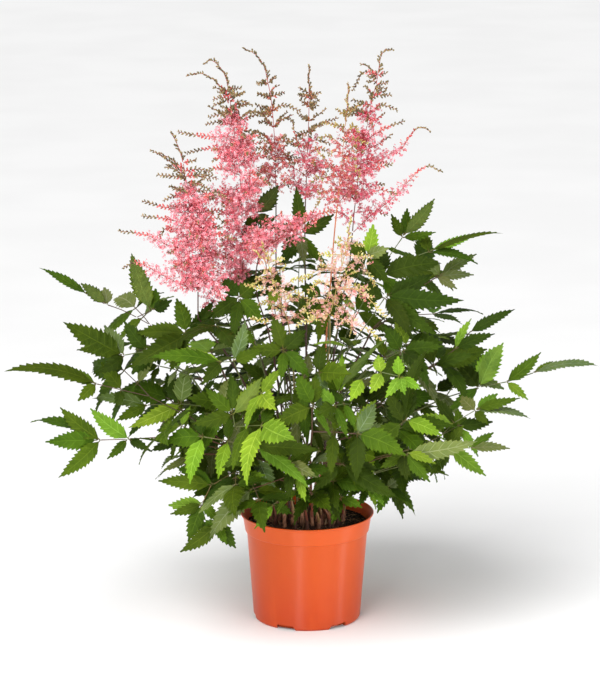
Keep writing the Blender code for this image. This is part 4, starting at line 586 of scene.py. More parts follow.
def solid_tree(tree, shift, at=None):
    """The tree of one drawn leaf with its points in metres."""
    pts = [place(u, v, y + shift) for u, v, y in tree[1]]
    node, depth = pts[-1], tree[1][-1][2] + shift
    kids = []
    for kid in tree[2]:
        if kid[0] == "S":
            kids.append(solid_tree(kid, shift))
        else:
            (u, v), w, dy, tone = kid[1:]
            tip = place(u, v, depth + dy)
            axis = tip - node
            L = axis.length
            d = axis.normalized()
            flat = d.cross(FACING).normalized()
            seen_w = w * UNIT
            true = max(seen_w, 0.25 * L)
            roll = math.acos(min(1.0, seen_w / true))
            other = flat.cross(d)
            one = flat * math.cos(roll) + other * math.sin(roll)
            two = flat * math.cos(roll) - other * math.sin(roll)
            n1, n2 = abs(one.cross(d).z), abs(two.cross(d).z)
            kids.append(("B", tip, true, one if n1 >= n2 else two, tone))
    return ("S", pts, kids)


BENDS = [(0.22, 0.62, 0.052), (0.08, 0.72, 0.066), (0.36, 0.50, 0.040)]


def rise(foot, goal, way=0):
    """Points of a stalk that leaves the crown upright and bends to goal."""
    over = goal - foot
    part, high, hump = BENDS[way]
    if goal.z > foot.z + 0.07:
        knee = foot + Vector((over.x * part, over.y * part, over.z * high))
    else:
        knee = foot + Vector((over.x * (part + 0.18), over.y * (part + 0.18), max(0.0, over.z) + hump))
    out = [foot + Vector((0.0, 0.0, 0.007))]
    for t in (0.30, 0.55, 0.80):
        out.append(foot * (1 - t) ** 2 + knee * 2 * t * (1 - t) + goal * t * t)
    return out


DEPTHS = [0]
for _i in range(1, 11):
    DEPTHS += [7 * _i, -7 * _i]
TRIES = [(d, way, pace) for pace in (1.0, 1.5, 0.8, 2.1) for way in range(3) for d in DEPTHS]


def with_boughs(pts, kids, boughs):
    """The stalk through pts, split at the points where boughs leave it."""
    if not boughs:
        return pts, kids
    i = min(boughs)
    rest = {j - i - 1: b for j, b in boughs.items() if j != i}
    p, k = with_boughs(pts[i + 1:], kids, rest)
    return pts[:i + 1], [("S", p, k), boughs[i]]


def drawn_leaf(name, tree, foot, k, boughs):
    rib = Ribbon()
    shift, way, rib.pace = TRIES[k]
    tree = solid_tree(tree, shift)
    a = rib.point(foot + Vector((-STALK_HALF, 0, 0)), STALK_HALF)
    b = rib.point(foot + Vector((STALK_HALF, 0, 0)), STALK_HALF)
    rib.petiole = rise(foot, tree[1][0], way) + tree[1]
    pts, kids = with_boughs(rib.petiole, tree[2], boughs)
    grow_stalk(rib, a, b, pts, STALK_HALF, STALK_HALF * 0.8, kids, FACING)
    return rib


def leaflet_of(rng, base, d, L, tone, up, side, fwd, lean=0.0, broad=0.30):
    tip = base + d * L - Vector((0, 0, L * rng.uniform(0.10, 0.38)))
    dd = (tip - base).normalized()
    s = dd.cross(up + side * lean + fwd * rng.uniform(-0.3, 0.3)).normalized()
    return ("B", tip, L * broad * rng.uniform(0.90, 1.10), s, tone)


def round_leaf(name, az, reach, height, size, foot, k, boughs):
    """A twice divided leaf that leans out to one bearing."""
    rng = random.Random(name + "/" + str(k))
    if k:
        az += rng.uniform(-9, 9) * min(2.5, 0.5 + k * 0.05)
        reach *= rng.uniform(0.80, 1.15)
        height += rng.uniform(-0.045, 0.035)
    az = math.radians(az)
    out = Vector((math.sin(az), -math.cos(az), 0.0))
    dip = rng.uniform(-0.15, 0.30)
    fwd = (out - Vector((0, 0, dip))).normalized()
    side = fwd.cross(Vector((0, 0, 1))).normalized()
    up = side.cross(fwd)
    node = out * reach + Vector((0, 0, height))

    def leaflet(base, d, L, tone, lean=0.0):
        return leaflet_of(rng, base, d, L, tone, up, side, fwd, lean)

    def pinna(base, d, n, L):
        e = d.cross(up).normalized()
        inner = base + d * 0.030 * size
        far = inner + d * 0.030 * size - Vector((0, 0, 0.004))
        tail = [leaflet(far, d, L, rng.choice((0, 1, 1)))]
        tail += [leaflet(far, (d * 0.45 + e * q).normalized(), L * 0.78, rng.choice((0, 1, 2)), q * 0.3) for q in (-1, 1)]
        if n < 5:
            return ("S", [inner], [leaflet(inner, d, L, 1)] + [
                leaflet(inner, (d * 0.5 + e * q).normalized(), L * 0.8, rng.choice((0, 1)), q * 0.3) for q in (-1, 1)])
        return ("S", [inner], [("S", [far], tail)] + [
            leaflet(inner, (d * 0.25 + e * q).normalized(), L * 0.82, rng.choice((0, 1)), q * 0.3) for q in (-1, 1)])

    L = 0.082 * size
    kids = [pinna(node, fwd, 5, L)]
    for q in (-1, 1):
        d = (fwd * 0.38 + side * q * 0.9 + Vector((0, 0, rng.uniform(-0.1, 0.25)))).normalized()
        kids.append(pinna(node, d, 3, L * 0.86))
    rib = Ribbon()
    s0 = out.cross(Vector((0, 0, 1))).normalized()
    a = rib.point(foot - s0 * STALK_HALF, STALK_HALF)
    b = rib.point(foot + s0 * STALK_HALF, STALK_HALF)
    rib.petiole = rise(foot, node, k % 3) + [node]
    pts, kids = with_boughs(rib.petiole, kids, boughs)
    grow_stalk(rib, a, b, pts, STALK_HALF, STALK_HALF * 0.8, kids, -out + Vector((0, 0, 0.2)), None)
    return rib


def drawn_plume(name, axis, sides, kind, foot, k):
    rib = Ribbon()
    shift, way, rib.pace = TRIES[k]
    nodes = []
    for v, pts, bloom in sorted(sides, key=lambda t: -t[0]):
        nodes.append((v, [place(x, y, z + shift) for x, y, z in pts], bloom))
    line = list(axis)
    low, high = line[0][1], line[-1][1]

    def at(v):
        for p, q in zip(line, line[1:]):
            if q[1] <= v <= p[1] and p[1] > q[1]:
                t = (p[1] - v) / (p[1] - q[1])
                return tuple(p[i] + (q[i] - p[i]) * t for i in range(3))
        return line[0] if v > low else line[-1]

    def build(i, v_from):
        """The axis from v_from up to its tip, as a chain of stalks."""
        if i >= len(nodes):
            rest = [place(p[0], p[1], p[2] + shift) for p in line if p[1] < v_from - 1.0]
            if not rest:
                rest = [place(line[-1][0], line[-1][1], line[-1][2] + shift)]
            return ("F", rest, 0.0050, 0)
        group = [nodes[i]]
        if i + 1 < len(nodes) and nodes[i][0] - nodes[i + 1][0] < 9:
            group.append(nodes[i + 1])
        v = group[0][0]
        between = [p for p in line if v + 4 < p[1] < v_from - 4]
        pts = [place(p[0], p[1], p[2] + shift) for p in between] + [place(*(lambda q: (q[0], q[1], q[2] + shift))(at(v)))]
        kids = [("F", g[1], 0.0075 if g[2] else 0.0050, g[2]) for g in group]
        kids.append(build(i + len(group), v - 1.5))
        return ("S", pts, kids)

    a = rib.point(foot + Vector((-STEM_HALF, 0, 0)), STEM_HALF)
    b = rib.point(foot + Vector((STEM_HALF, 0, 0)), STEM_HALF)
    start = place(line[0][0], line[0][1], line[0][2] + shift)
    grow_stalk(rib, a, b, rise(foot, start, way), STEM_HALF, STEM_HALF * 0.85,
               [("S", [start], [build(0, low)])], FACING)
    return rib


def pieces(feet):
    """Name and maker of every plant piece, in the order that they are set."""
    jobs = []
    for name, ring, axis, sides, kind in PLUMES:
        jobs.append((name, lambda k, boughs, n=name, a=axis, s=sides, c=kind: drawn_plume(n, a, s, c, feet[n], k)))
    for name, ring, tree in LEAVES:
        jobs.append((name, lambda k, boughs, n=name, t=tree: drawn_leaf(n, t, feet[n], k, boughs)))
    for name, az, reach, height, size in ROUND_LEAVES:
        jobs.append((name, lambda k, boughs, n=name, z=az, r=reach, h=height, s=size: round_leaf(n, z, r, h, s, feet[n], k, boughs)))
    return jobs


# ------------------------------------------------------- the turned profiles
EDGE = 0.0012
POT_PROFILE = [
    (0.0, FLOOR_T),
    (FOOT_R - WALL - 0.002, FLOOR_T),
    (FOOT_R - WALL + 0.0003, FLOOR_T + 0.004),
    (BODY_TOP_R - WALL, BAND_LOW_Z + 0.001),
    (BAND_TOP_R - WALL, POT_H - 0.004),
    (LIP_R - 0.0014, POT_H),
    (LIP_R, POT_H - 0.0005),
    (LIP_R, POT_H - 0.0018),
    (BAND_TOP_R, POT_H - 0.0034),
    (BAND_LOW_R, BAND_LOW_Z),
    (BODY_TOP_R, BAND_LOW_Z - 0.0006),
    (FOOT_R, 0.0016),
    (FOOT_R - EDGE, 0.0),
    (0.0, 0.0),
]


def inner_r(z):
    lo, hi = (FLOOR_T + 0.004, FOOT_R - WALL + 0.0003), (BAND_LOW_Z + 0.001, BODY_TOP_R - WALL)
    if z > hi[0]:
        lo, hi = hi, (POT_H - 0.004, BAND_TOP_R - WALL)
    return lo[1] + (hi[1] - lo[1]) * (z - lo[0]) / (hi[0] - lo[0])


SOIL_PROFILE = [
    (0.0, SOIL_Z),
    (inner_r(SOIL_Z) - SOIL_GAP, SOIL_Z),
    (inner_r(BAND_LOW_Z + 0.001) - SOIL_GAP, BAND_LOW_Z + 0.001),
    (inner_r(0.012) - SOIL_GAP, 0.012),
    (0.0, 0.012),
]
CROWN_PROFILE = [(0.0, SOIL_Z + CLEAR + CROWN_H)] + [
    (CROWN_R * math.sin(t * math.pi / 10), SOIL_Z + CLEAR + CROWN_H * math.cos(t * math.pi / 10)) for t in range(1, 6)] + [
    (0.0, SOIL_Z + CLEAR)]


def turned_space(profile, n):
    """The walls of a profile turned round Z in n steps."""
    co, faces = [], []
    for i in range(n):
        a = 2 * math.pi * i / n
        co += [Vector((r * math.cos(a), r * math.sin(a), z)) for r, z in profile]
    m = len(profile)
    for i in range(n):
        j = (i + 1) % n
        for k in range(m - 1):
            faces.append((i * m + k, i * m + k + 1, j * m + k + 1, j * m + k))
    return tree_of(co, faces)


# ---------------------------------------------------------- filling foliage
# The outline of the leafy mass on the front elevation, where the leaves stand
# close, and the wider outline that the leaf tips reach.
MASS = [(112, 345), (128, 318), (160, 296), (208, 318), (246, 300), (252, 262), (262, 214), (284, 216), (300, 244),
        (338, 222), (372, 226), (396, 244), (446, 262), (468, 300), (486, 330), (500, 372), (486, 420), (452, 452),
        (408, 474), (388, 498), (345, 506), (300, 502), (258, 516), (222, 508), (196, 484), (166, 462), (132, 430), (98, 404), (92, 368)]
REACH = [(60, 330), (100, 285), (160, 275), (240, 290), (250, 200), (290, 200), (340, 205), (400, 205), (470, 240),
         (505, 320), (540, 380), (500, 440), (440, 480), (395, 510), (345, 516), (250, 525), (200, 540), (170, 500), (100, 470), (50, 420)]


def inside(poly, u, v):
    hit = False
    for (x0, y0), (x1, y1) in zip(poly, poly[1:] + poly[:1]):
        if (y0 > v) != (y1 > v) and u < (x1 - x0) * (v - y0) / (y1 - y0) + x0:
            hit = not hit
    return hit


def seen(p):
    """Where a point falls on the front elevation."""
    q = p - EYE
    deep = q.dot(AHEAD)
    return 300.0 + FOCUS * q.x / deep, 341.5 - FOCUS * q.dot(UPWARD) / deep


def spots(blade):
    """Points spread over a leaflet."""
    base, tip, s, width = blade[0], blade[1], blade[2], blade[4]
    out = []
    for t in (0.15, 0.3, 0.45, 0.6, 0.75, 0.9):
        c = base.lerp(tip, t)
        out.append(c)
        if 0.2 < t < 0.7:
            out += [c + s * width * 0.3, c - s * width * 0.3]
    return out


def cells(blades):
    """The cells that leaflets cover on the front, the side and the plan."""
    front, flank, plan = set(), set(), set()
    for b in blades:
        for p in spots(b):
            u, v = seen(p)
            front.add((int(u // 9), int(v // 9)))
            flank.add((int(p.y // 0.016), int(p.z // 0.016)))
            plan.add((int(p.x // 0.018), int(p.y // 0.018)))
    return front, flank, plan


# Where the flower plumes stand clear of the leaves on the front elevation.
CLEARINGS = [[(112, 226), (140, 150), (262, 130), (285, 190), (262, 214), (258, 290), (238, 306), (228, 326), (196, 326), (188, 300), (150, 292), (116, 276)],
             [(244, 310), (262, 244), (336, 206), (362, 228), (388, 262), (392, 344), (330, 346), (300, 330), (262, 340)]]
MASS_CELLS, REACH_CELLS, CLEAR_CELLS = set(), set(), set()
for _i in range(68):
    for _j in range(77):
        if inside(MASS, _i * 9 + 4.5, _j * 9 + 4.5):
            MASS_CELLS.add((_i, _j))
        if inside(REACH, _i * 9 + 4.5, _j * 9 + 4.5):
            REACH_CELLS.add((_i, _j))
        if any(inside(c, _i * 9 + 4.5, _j * 9 + 4.5) for c in CLEARINGS):
            CLEAR_CELLS.add((_i, _j))


def worth(found, counts):
    """How much a new bough would fill that is still open."""
    score = 0.0
    near = sum(c[0] for c in found[1]) / len(found[1]) * 0.016 < -0.02
    for c in found[0]:
        n = counts[0].get(c, 0)
        if c in CLEAR_CELLS and near:
            score -= 1.6
        elif c in MASS_CELLS:
            score += (2.2, 1.1, 0.5)[n] if n < 3 else 0.0
        elif c not in REACH_CELLS:
            score -= 1.2
        else:
            score += 0.1 if n == 0 else 0.0
    for c in found[1]:
        y, z = c[0] * 0.016 + 0.008, c[1] * 0.016 + 0.008
        r = ((y - 0.035) / 0.25) ** 2 + ((z - 0.315) / 0.17) ** 2
        n = counts[1].get(c, 0)
        score += ((0.6, 0.3, 0.15)[n] if n < 3 else 0.0) if r < 1 else -0.5
    for c in found[2]:
        x, y = c[0] * 0.018 + 0.009, c[1] * 0.018 + 0.009
        r = (x / 0.31) ** 2 + ((y - 0.035) / 0.235) ** 2
        n = counts[2].get(c, 0)
        score += ((0.6, 0.3, 0.15)[n] if n < 3 else 0.0) if r < 1 else -0.5
    return score


def bough(rng, base, ahead):
    """A side branch of three or five leaflets that leaves a leaf stalk."""
    out = Vector((base.x, base.y - 0.02, 0.0))
    out = out.normalized() if out.length > 0.01 else Vector((0, -1, 0))
    a = rng.uniform(-1.5, 1.5)
    turn = Vector((out.x * math.cos(a) - out.y * math.sin(a), out.x * math.sin(a) + out.y * math.cos(a), 0))
    d = (turn + ahead * 0.25 + Vector((0, 0, rng.uniform(-0.25, 0.65)))).normalized()
    side = d.cross(Vector((0, 0, 1))).normalized()
    up = (side.cross(d) + out * rng.uniform(0.35, 1.7)).normalized()
    L = rng.uniform(0.044, 0.084)
    e = d.cross(up).normalized()
    stem = rng.uniform(0.018, 0.050)
    near = base + d * stem + Vector((0, 0, 0.004))
    tones = (0, 0, 1, 1, 1, 2, 3)
    kids = [leaflet_of(rng, near, d, L, rng.choice(tones), up, side, d, 0.0, 0.38)]
    for q in (-1, 1):
        kids.append(leaflet_of(rng, near, (d * 0.45 + e * q).normalized(), L * rng.uniform(0.68, 0.86), rng.choice(tones), up, side, d, q * 0.3, 0.37))
    if rng.random() < 0.45:
        first = base + d * stem * 0.60 + Vector((0, 0, 0.003))
        pair = [leaflet_of(rng, first, (d * 0.15 + e * q).normalized(), L * rng.uniform(0.55, 0.72), rng.choice(tones), up, side, d, q * 0.3, 0.37) for q in (-1, 1)]
        return ("S", [first], [("S", [near + d * 0.012], kids)] + pair)
    return ("S", [near], kids)


MOST = 25300             # triangles of all the closed pieces together
OTHERS = 1500            # of which the pot, the soil and the crown


def arrange():
    """Every plant piece as a ribbon, set so that none touches another."""
    feet = give_footings()
    ground = [turned_space(POT_PROFILE, TURN), turned_space(SOIL_PROFILE, TURN), turned_space(CROWN_PROFILE, 32)]
    drawn = [p[0] for p in PLUMES] + [l[0] for l in LEAVES]
    ribs, trees, picks, makers = {}, {}, {}, dict(pieces(feet))
    order = [name for name, make in pieces(feet)]

    def touches(rib, name):
        probe = space(rib, CLEAR)
        return sum(len(probe.overlap(t)) for t in ground) + sum(len(probe.overlap(t)) for n, t in trees.items() if n != name)

    for name in order:
        best = None
        for k in range(len(TRIES) if name in drawn else 240):
            rib = makers[name](k, {})
            hits = touches(rib, name)
            if hits == 0:
                hits = 0.1 * untangle(rib)
                hits += touches(rib, name)
            if best is None or hits < best[0]:
                best = (hits, k, rib)
            if hits == 0:
                break
        if best[0]:
            print("touching", name, best[0])
        ribs[name], trees[name], picks[name] = best[2], space(best[2], 0.0), best[1]
    counts = ({}, {}, {})

    def mark(blades, by):
        for grid, found_cells in zip(counts, cells(blades)):
            for c in found_cells:
                grid[c] = grid.get(c, 0) + by

    for rib in ribs.values():
        for b in rib.blades:
            mark([b], 1)
    total = OTHERS + sum(triangles(r) for r in ribs.values())
    boughs = {name: {} for name in order}
    for turn in range(15):
        for name in order:
            if not name.startswith("leaf") or total > MOST:
                continue
            rib = ribs[name]
            places = [i for i in range(2, len(rib.petiole) - 1) if i not in boughs[name]]
            if not places or len(boughs[name]) > 6:
                continue
            rng = random.Random("%s+%d" % (name, turn))
            ranked = []
            for n in range(44):
                i = rng.choice(places)
                base = rib.petiole[i]
                ahead = (rib.petiole[i + 1] - rib.petiole[i - 1]).normalized()
                b = bough(rng, base, ahead)
                probe = Ribbon()
                start = b[1][0].lerp(base, 0.7)
                p0 = probe.point(start - Vector((0.0006, 0, 0)), 0.0007)
                p1 = probe.point(start + Vector((0.0006, 0, 0)), 0.0007)
                grow_stalk(probe, p0, p1, b[1], 0.0007, 0.0007, b[2], Vector((0, 0, 1)))
                score = worth(cells(probe.blades), counts)
                ranked.append((-score, n, i, b, probe))
            ranked.sort(key=lambda t: t[:2])
            for score, n, i, b, probe in ranked[:20]:
                if -score < 1.2:
                    break
                shell = space(probe, CLEAR * 2)
                if any(shell.overlap(t) for t in ground) or any(shell.overlap(t) for t in trees.values()):
                    continue
                trial = dict(boughs[name])
                trial[i] = b
                full = makers[name](picks[name], trial)
                if untangle(full) or touches(full, name):
                    continue
                for q in rib.blades:
                    mark([q], -1)
                total += triangles(full) - triangles(rib)
                ribs[name], trees[name], boughs[name] = full, space(full, 0.0), trial
                for q in full.blades:
                    mark([q], 1)
                break
    print("leaflets", sum(len(r.blades) for r in ribs.values()), "spikes", sum(len(r.spikes) for r in ribs.values()), "triangles", total)
    return [(name, ribs[name]) for name in order]

# ------------------------------------------------- matching the CAD pieces
def off_by(name, rib):
    """Mean distance of the skeleton's points from the CAD node's vertices:
    about its half thickness when the two are the same piece."""
    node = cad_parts[name]
    cad = np.empty(len(node.data.vertices) * 3, np.float32)
    node.data.vertices.foreach_get("co", cad)
    cad = cad.reshape(-1, 3).astype(float)
    pts = np.array([p[:] for p in rib.co])
    d = np.sqrt(((pts[:, None, :] - cad[None, :, :]) ** 2).sum(2).min(1))
    return float(d.mean())


# ------------------------------------------------------------ mesh gatherer
class Mesh:
    """Gathers points, faces, tints and leaf coordinates of one piece."""

    def __init__(self):
        self.v, self.tint, self.uv = [], [], []
        self.loops, self.total, self.mat = [], [], []
        self.n = 0
        self.tris = 0

    def add(self, verts, faces, tint, uv=None, mat=0):
        """faces: an (m, 3) or (m, 4) array, or a list of such arrays with
        their material numbers."""
        verts = np.asarray(verts, np.float32).reshape(-1, 3)
        k = len(verts)
        self.v.append(verts)
        tint = np.asarray(tint, np.float32)
        if tint.ndim == 1:
            tint = np.tile(tint, (k, 1))
        self.tint.append(tint)
        self.uv.append(np.zeros((k, 2), np.float32) if uv is None else np.asarray(uv, np.float32))
        if not isinstance(faces, list):
            faces = [(faces, mat)]
        for f, m in faces:
            f = np.asarray(f, np.int32)
            if len(f) == 0:
                continue
            self.loops.append((f + self.n).ravel())
            self.total.append(np.full(len(f), f.shape[1], np.int32))
            self.mat.append(np.full(len(f), m, np.int32))
            self.tris += len(f) * (f.shape[1] - 2)
        self.n += k

    def make(self, name, mats, smooth=True, sharp=None):
        v = np.concatenate(self.v)
        tint = np.concatenate(self.tint)
        uv = np.concatenate(self.uv)
        loops = np.concatenate(self.loops)
        total = np.concatenate(self.total)
        mat = np.concatenate(self.mat)
        me = bpy.data.meshes.new(name)
        me.vertices.add(len(v))
        me.vertices.foreach_set("co", v.ravel())
        me.loops.add(len(loops))
        me.loops.foreach_set("vertex_index", loops)
        me.polygons.add(len(total))
        start = np.concatenate([[0], np.cumsum(total)[:-1]]).astype(np.int32)
        me.polygons.foreach_set("loop_start", start)
        me.polygons.foreach_set("material_index", mat)
        me.update(calc_edges=True)
        a = me.attributes.new("tint", "FLOAT_COLOR", "POINT")
        rgba = np.ones((len(v), 4), np.float32)
        rgba[:, :3] = tint
        a.data.foreach_set("color", rgba.ravel())
        layer = me.uv_layers.new(name="leaf")
        layer.data.foreach_set("uv", uv[loops].ravel())
        for m in mats:
            me.materials.append(m)
        if smooth:
            me.shade_smooth()
            if sharp is not None:
                me.set_sharp_from_angle(angle=math.radians(sharp))
        me.validate()
        o = bpy.data.objects.new(name, me)
        bpy.context.scene.collection.objects.link(o)
        return o


def curve_through(pts, step):
    """Points of a smooth curve through pts, about step apart."""
    p = np.array([q[:] for q in pts], float)
    if len(p) == 2:
        n = max(1, int(round(np.linalg.norm(p[1] - p[0]) / step)))
        t = np.linspace(0, 1, n + 1)[:, None]
        return p[0] + (p[1] - p[0]) * t
    ext = np.vstack([2 * p[0] - p[1], p, 2 * p[-1] - p[-2]])
    out = []
    for i in range(1, len(ext) - 2):
        a, b, c, d = ext[i - 1:i + 3]
        n = max(1, int(round(np.linalg.norm(c - b) / step)))
        la, lb, lc = (max(1e-6, np.linalg.norm(x)) for x in (b - a, c - b, d - c))
        m1 = ((b - a) / la + (c - b) / lb) * 0.5 * lb
        m2 = ((c - b) / lb + (d - c) / lc) * 0.5 * lb
        for j in range(n):
            t = j / n
            h = (2 * t ** 3 - 3 * t ** 2 + 1, t ** 3 - 2 * t ** 2 + t, -2 * t ** 3 + 3 * t ** 2, t ** 3 - t ** 2)
            out.append(h[0] * b + h[1] * m1 + h[2] * c + h[3] * m2)
    out.append(p[-1])
    return np.array(out)


def unit(a):
    return a / np.maximum(np.linalg.norm(a, axis=-1, keepdims=True), 1e-9)


def frames_along(c):
    """Tangent, side and up vectors along a curve, without twist."""
    t = unit(np.gradient(c, axis=0)) if len(c) > 2 else unit(np.repeat((c[-1:] - c[:1]), len(c), 0))
    ref = np.array([1.0, 0, 0]) if abs(t[0][0]) < 0.8 else np.array([0, 1.0, 0])
    s = np.zeros_like(t)
    last = np.cross(t[0], ref)
    for i in range(len(t)):
        last = last - t[i] * np.dot(last, t[i])
        last = last / max(1e-9, np.linalg.norm(last))
        s[i] = last
    return t, s, np.cross(s, t)


def tube(mesh, c, r, sides, tint, mat, blunt=0.3):
    """A closed tube along the points c with radii r and tints along it."""
    c = np.asarray(c, float)
    n = len(c)
    r = np.broadcast_to(np.asarray(r, float), (n,))
    t, s, u = frames_along(c)
    a = np.arange(sides) / sides * 2 * math.pi
    ring = c[:, None, :] + r[:, None, None] * (np.cos(a)[None, :, None] * s[:, None, :] + np.sin(a)[None, :, None] * u[:, None, :])
    verts = np.vstack([ring.reshape(-1, 3), c[0] - t[0] * r[0] * blunt, c[-1] + t[-1] * r[-1] * blunt])
    i = np.arange(n - 1)[:, None] * sides
    j = np.arange(sides)[None, :]
    k = (j + 1) % sides
    quads = np.stack([i + j, i + sides + j, i + sides + k, i + k], -1).reshape(-1, 4)
    jj = np.arange(sides)
    kk = (jj + 1) % sides
    b0, b1 = n * sides, n * sides + 1
    low = np.stack([np.full(sides, b0), jj, kk], -1)
    top = np.stack([np.full(sides, b1), (n - 1) * sides + kk, (n - 1) * sides + jj], -1)
    tint = np.asarray(tint, float)
    if tint.ndim == 1:
        tint = np.tile(tint, (n, 1))
    tv = np.vstack([np.repeat(tint, sides, 0), tint[:1], tint[-1:]])
    arc = np.concatenate([[0], np.cumsum(np.linalg.norm(np.diff(c, axis=0), axis=1))])
    uv = np.vstack([np.stack([np.tile(a / 6.2832, n), np.repeat(arc * 10, sides)], -1), [[0, 0], [0, arc[-1] * 10]]])
    mesh.add(verts, [(quads, mat), (low, mat), (top, mat)], tv, uv)


# ----------------------------------------------------------------- leaflets
OUTLINE_T = np.array([0.00, 0.045, 0.08, 0.13, 0.20, 0.28, 0.37, 0.46, 0.56, 0.66, 0.75, 0.83, 0.90, 0.95, 1.0])
OUTLINE_W = np.array([0.00, 0.06, 0.26, 0.56, 0.83, 0.97, 1.00, 0.96, 0.86, 0.71, 0.54, 0.36, 0.19, 0.09, 0.0])
ACROSS = np.array([-1.0, -0.72, -0.36, 0.0, 0.36, 0.72, 1.0])

GREENS = np.array([
    # deep: the mid green at about half its brightness, painted shade
    (0.020, 0.043, 0.0012),    # deep
    (0.040, 0.080, 0.0024),    # mid
    (0.130, 0.240, 0.0150),    # fresh
    (0.105, 0.145, 0.0420),    # grey-green
])
PALE = np.array((0.180, 0.235, 0.075))


def leaflet(mesh, base, tip, side, up, width, tone, rng):
    base, tip, side, up = (np.array(x[:], float) for x in (base, tip, side, up))
    axis = tip - base
    L = np.linalg.norm(axis)
    d = axis / L
    turn = 1.0 if np.dot(np.cross(side, d), up) > 0 else -1.0
    teeth = int(np.clip(round(L / 0.0058), 5, 13))
    R = 2 * teeth + 3
    t = np.linspace(0, 1, R)
    half = np.interp(t, OUTLINE_T, OUTLINE_W) * width * 0.5
    idx = np.arange(R)
    big = (idx // 2) % 2 == 0
    tooth = np.where(idx % 2 == 1, np.where(big, 1.13, 1.06), 0.88)
    tooth[t < 0.10] = 1.0
    edge = half * tooth + np.where((idx % 2 == 1) & (t > 0.1) & (t < 0.86), 0.0005, 0.0)
    dt = t[1] - t[0]
    lead = np.where(idx % 2 == 1, 0.75, -0.25) * dt * L * (t > 0.1) * (t < 0.96)
    q = ACROSS
    aq = np.abs(q)
    veins = max(5, int(round(L / 0.0105)))
    fold = rng.uniform(0.02, 0.38)
    drop = rng.uniform(0.0, 0.35)
    twist = rng.uniform(-0.35, 0.35)
    arch = 0.30 * L * t * (1 - t) * rng.uniform(0.7, 1.35)
    curl = -0.35 * L * np.clip(t - 0.72, 0, 1) ** 2 * rng.uniform(0.3, 1.6)
    tau = twist * (t - 0.25)
    s_t = side[None, :] * np.cos(tau)[:, None] + up[None, :] * np.sin(tau)[:, None]
    u_t = up[None, :] * np.cos(tau)[:, None] - side[None, :] * np.sin(tau)[:, None]
    bend = rng.uniform(-0.05, 0.05) * L * t * (1 - t) * 4
    centre = base + axis * t[:, None] + up * (arch + curl)[:, None] + side * bend[:, None]
    wide = np.where(aq[None, :] > 0.99, edge[:, None], half[:, None] * aq[None, :]) * np.sign(q)[None, :]
    rise_ = fold * aq[None, :] - drop * aq[None, :] ** 2.2
    lift = rise_ * half[:, None]
    phase = 2 * math.pi * (t[:, None] * veins - 0.95 * aq[None, :])
    pleat = 0.058 * width * np.sin(phase) * (aq * (1.15 - aq) * 2.4)[None, :] * np.clip(half / (width * 0.5), 0, 1)[:, None]
    wave = rng.uniform(0.02, 0.07) * width * np.sin(2 * math.pi * (1.6 * t + rng.random()))[:, None] * aq[None, :] ** 2 * np.sign(q)[None, :]
    along = lead[:, None] * (aq[None, :] > 0.99)
    pos = centre[:, None, :] + s_t[:, None, :] * wide[:, :, None] + u_t[:, None, :] * (lift + pleat + wave)[:, :, None] + d * along[:, :, None]
    rib = 0.0010 * (1 - 0.75 * t)
    thick_ = np.where(aq[None, :] < 0.01, rib[:, None], 0.00030)
    under = pos - u_t[:, None, :] * thick_[:, :, None]
    pos[:, 3, :] -= u_t * 0.00025
    stem_c = np.vstack([base - d * 0.0004, centre[1] - u_t[1] * 0.0003, centre[2] - u_t[2] * 0.0005])
    tube(mesh, stem_c, np.array([0.00080, 0.00068, 0.00045]), 4, GREENS[tone] * 0.55 + np.array((0.075, 0.045, 0.012)), 2)
    rows = R - 2
    top = pos[1:-1]
    low = under[1:-1, 1:6]
    verts = np.vstack([top.reshape(-1, 3), low.reshape(-1, 3), pos[0, 3], pos[-1, 3]])
    nt = rows * 7
    T = np.arange(nt).reshape(rows, 7)
    Lw = np.concatenate([T[:, :1], (nt + np.arange(rows * 5)).reshape(rows, 5), T[:, 6:]], 1)
    b0, b1 = nt + rows * 5, nt + rows * 5 + 1

    def grid(G, flip):
        g00, g01, g11, g10 = G[:-1, :-1].ravel(), G[:-1, 1:].ravel(), G[1:, 1:].ravel(), G[1:, :-1].ravel()
        a = np.vstack([np.stack([g00, g01, g11], -1), np.stack([g00, g11, g10], -1)])
        b = np.stack([np.full(6, b0), G[0, 1:], G[0, :-1]], -1)
        c = np.stack([G[-1, :-1], G[-1, 1:], np.full(6, b1)], -1)
        if flip:
            a, b, c = a[:, ::-1], b[:, ::-1], c[:, ::-1]
        return a, b, c

    ta, tb, tc = grid(T, turn < 0)
    la, lb, lc = grid(Lw, turn > 0)
    # the tint: the leaflet's own green, a little darker or yellower by luck, with painted shade along the midrib
    # towards the base
    g = GREENS[tone] * rng.uniform(0.70, 1.35)
    g = g * np.array([rng.uniform(0.85, 1.20), 1.0, rng.uniform(0.8, 1.2)])
    # painted shade: darker along the midrib towards the base, in the fold
    painted_shading = 1.0 - 0.14 * (1 - aq[None, :]) * (1 - t[1:-1, None])
    tt = (g[None, None, :] * painted_shading[:, :, None]).reshape(-1, 3)
    pale = (PALE * 0.45 + g * 0.55) * rng.uniform(0.9, 1.1)
    tl = np.tile(pale, (rows * 5, 1))
    tint = np.vstack([tt, tl, g[None], g[None]])
    U = 0.5 + 0.5 * q
    uvt = np.stack([np.tile(U, rows), np.repeat(t[1:-1] * veins * 0.1, 7)], -1)
    uvl = np.stack([np.tile(U[1:6], rows), np.repeat(t[1:-1] * veins * 0.1, 5)], -1)
    uv = np.vstack([uvt, uvl, [[0.5, 0.0]], [[0.5, veins * 0.1]]])
    mesh.add(verts, [(ta, 0), (tb, 0), (tc, 0), (la, 1), (lb, 1), (lc, 1)], tint, uv)


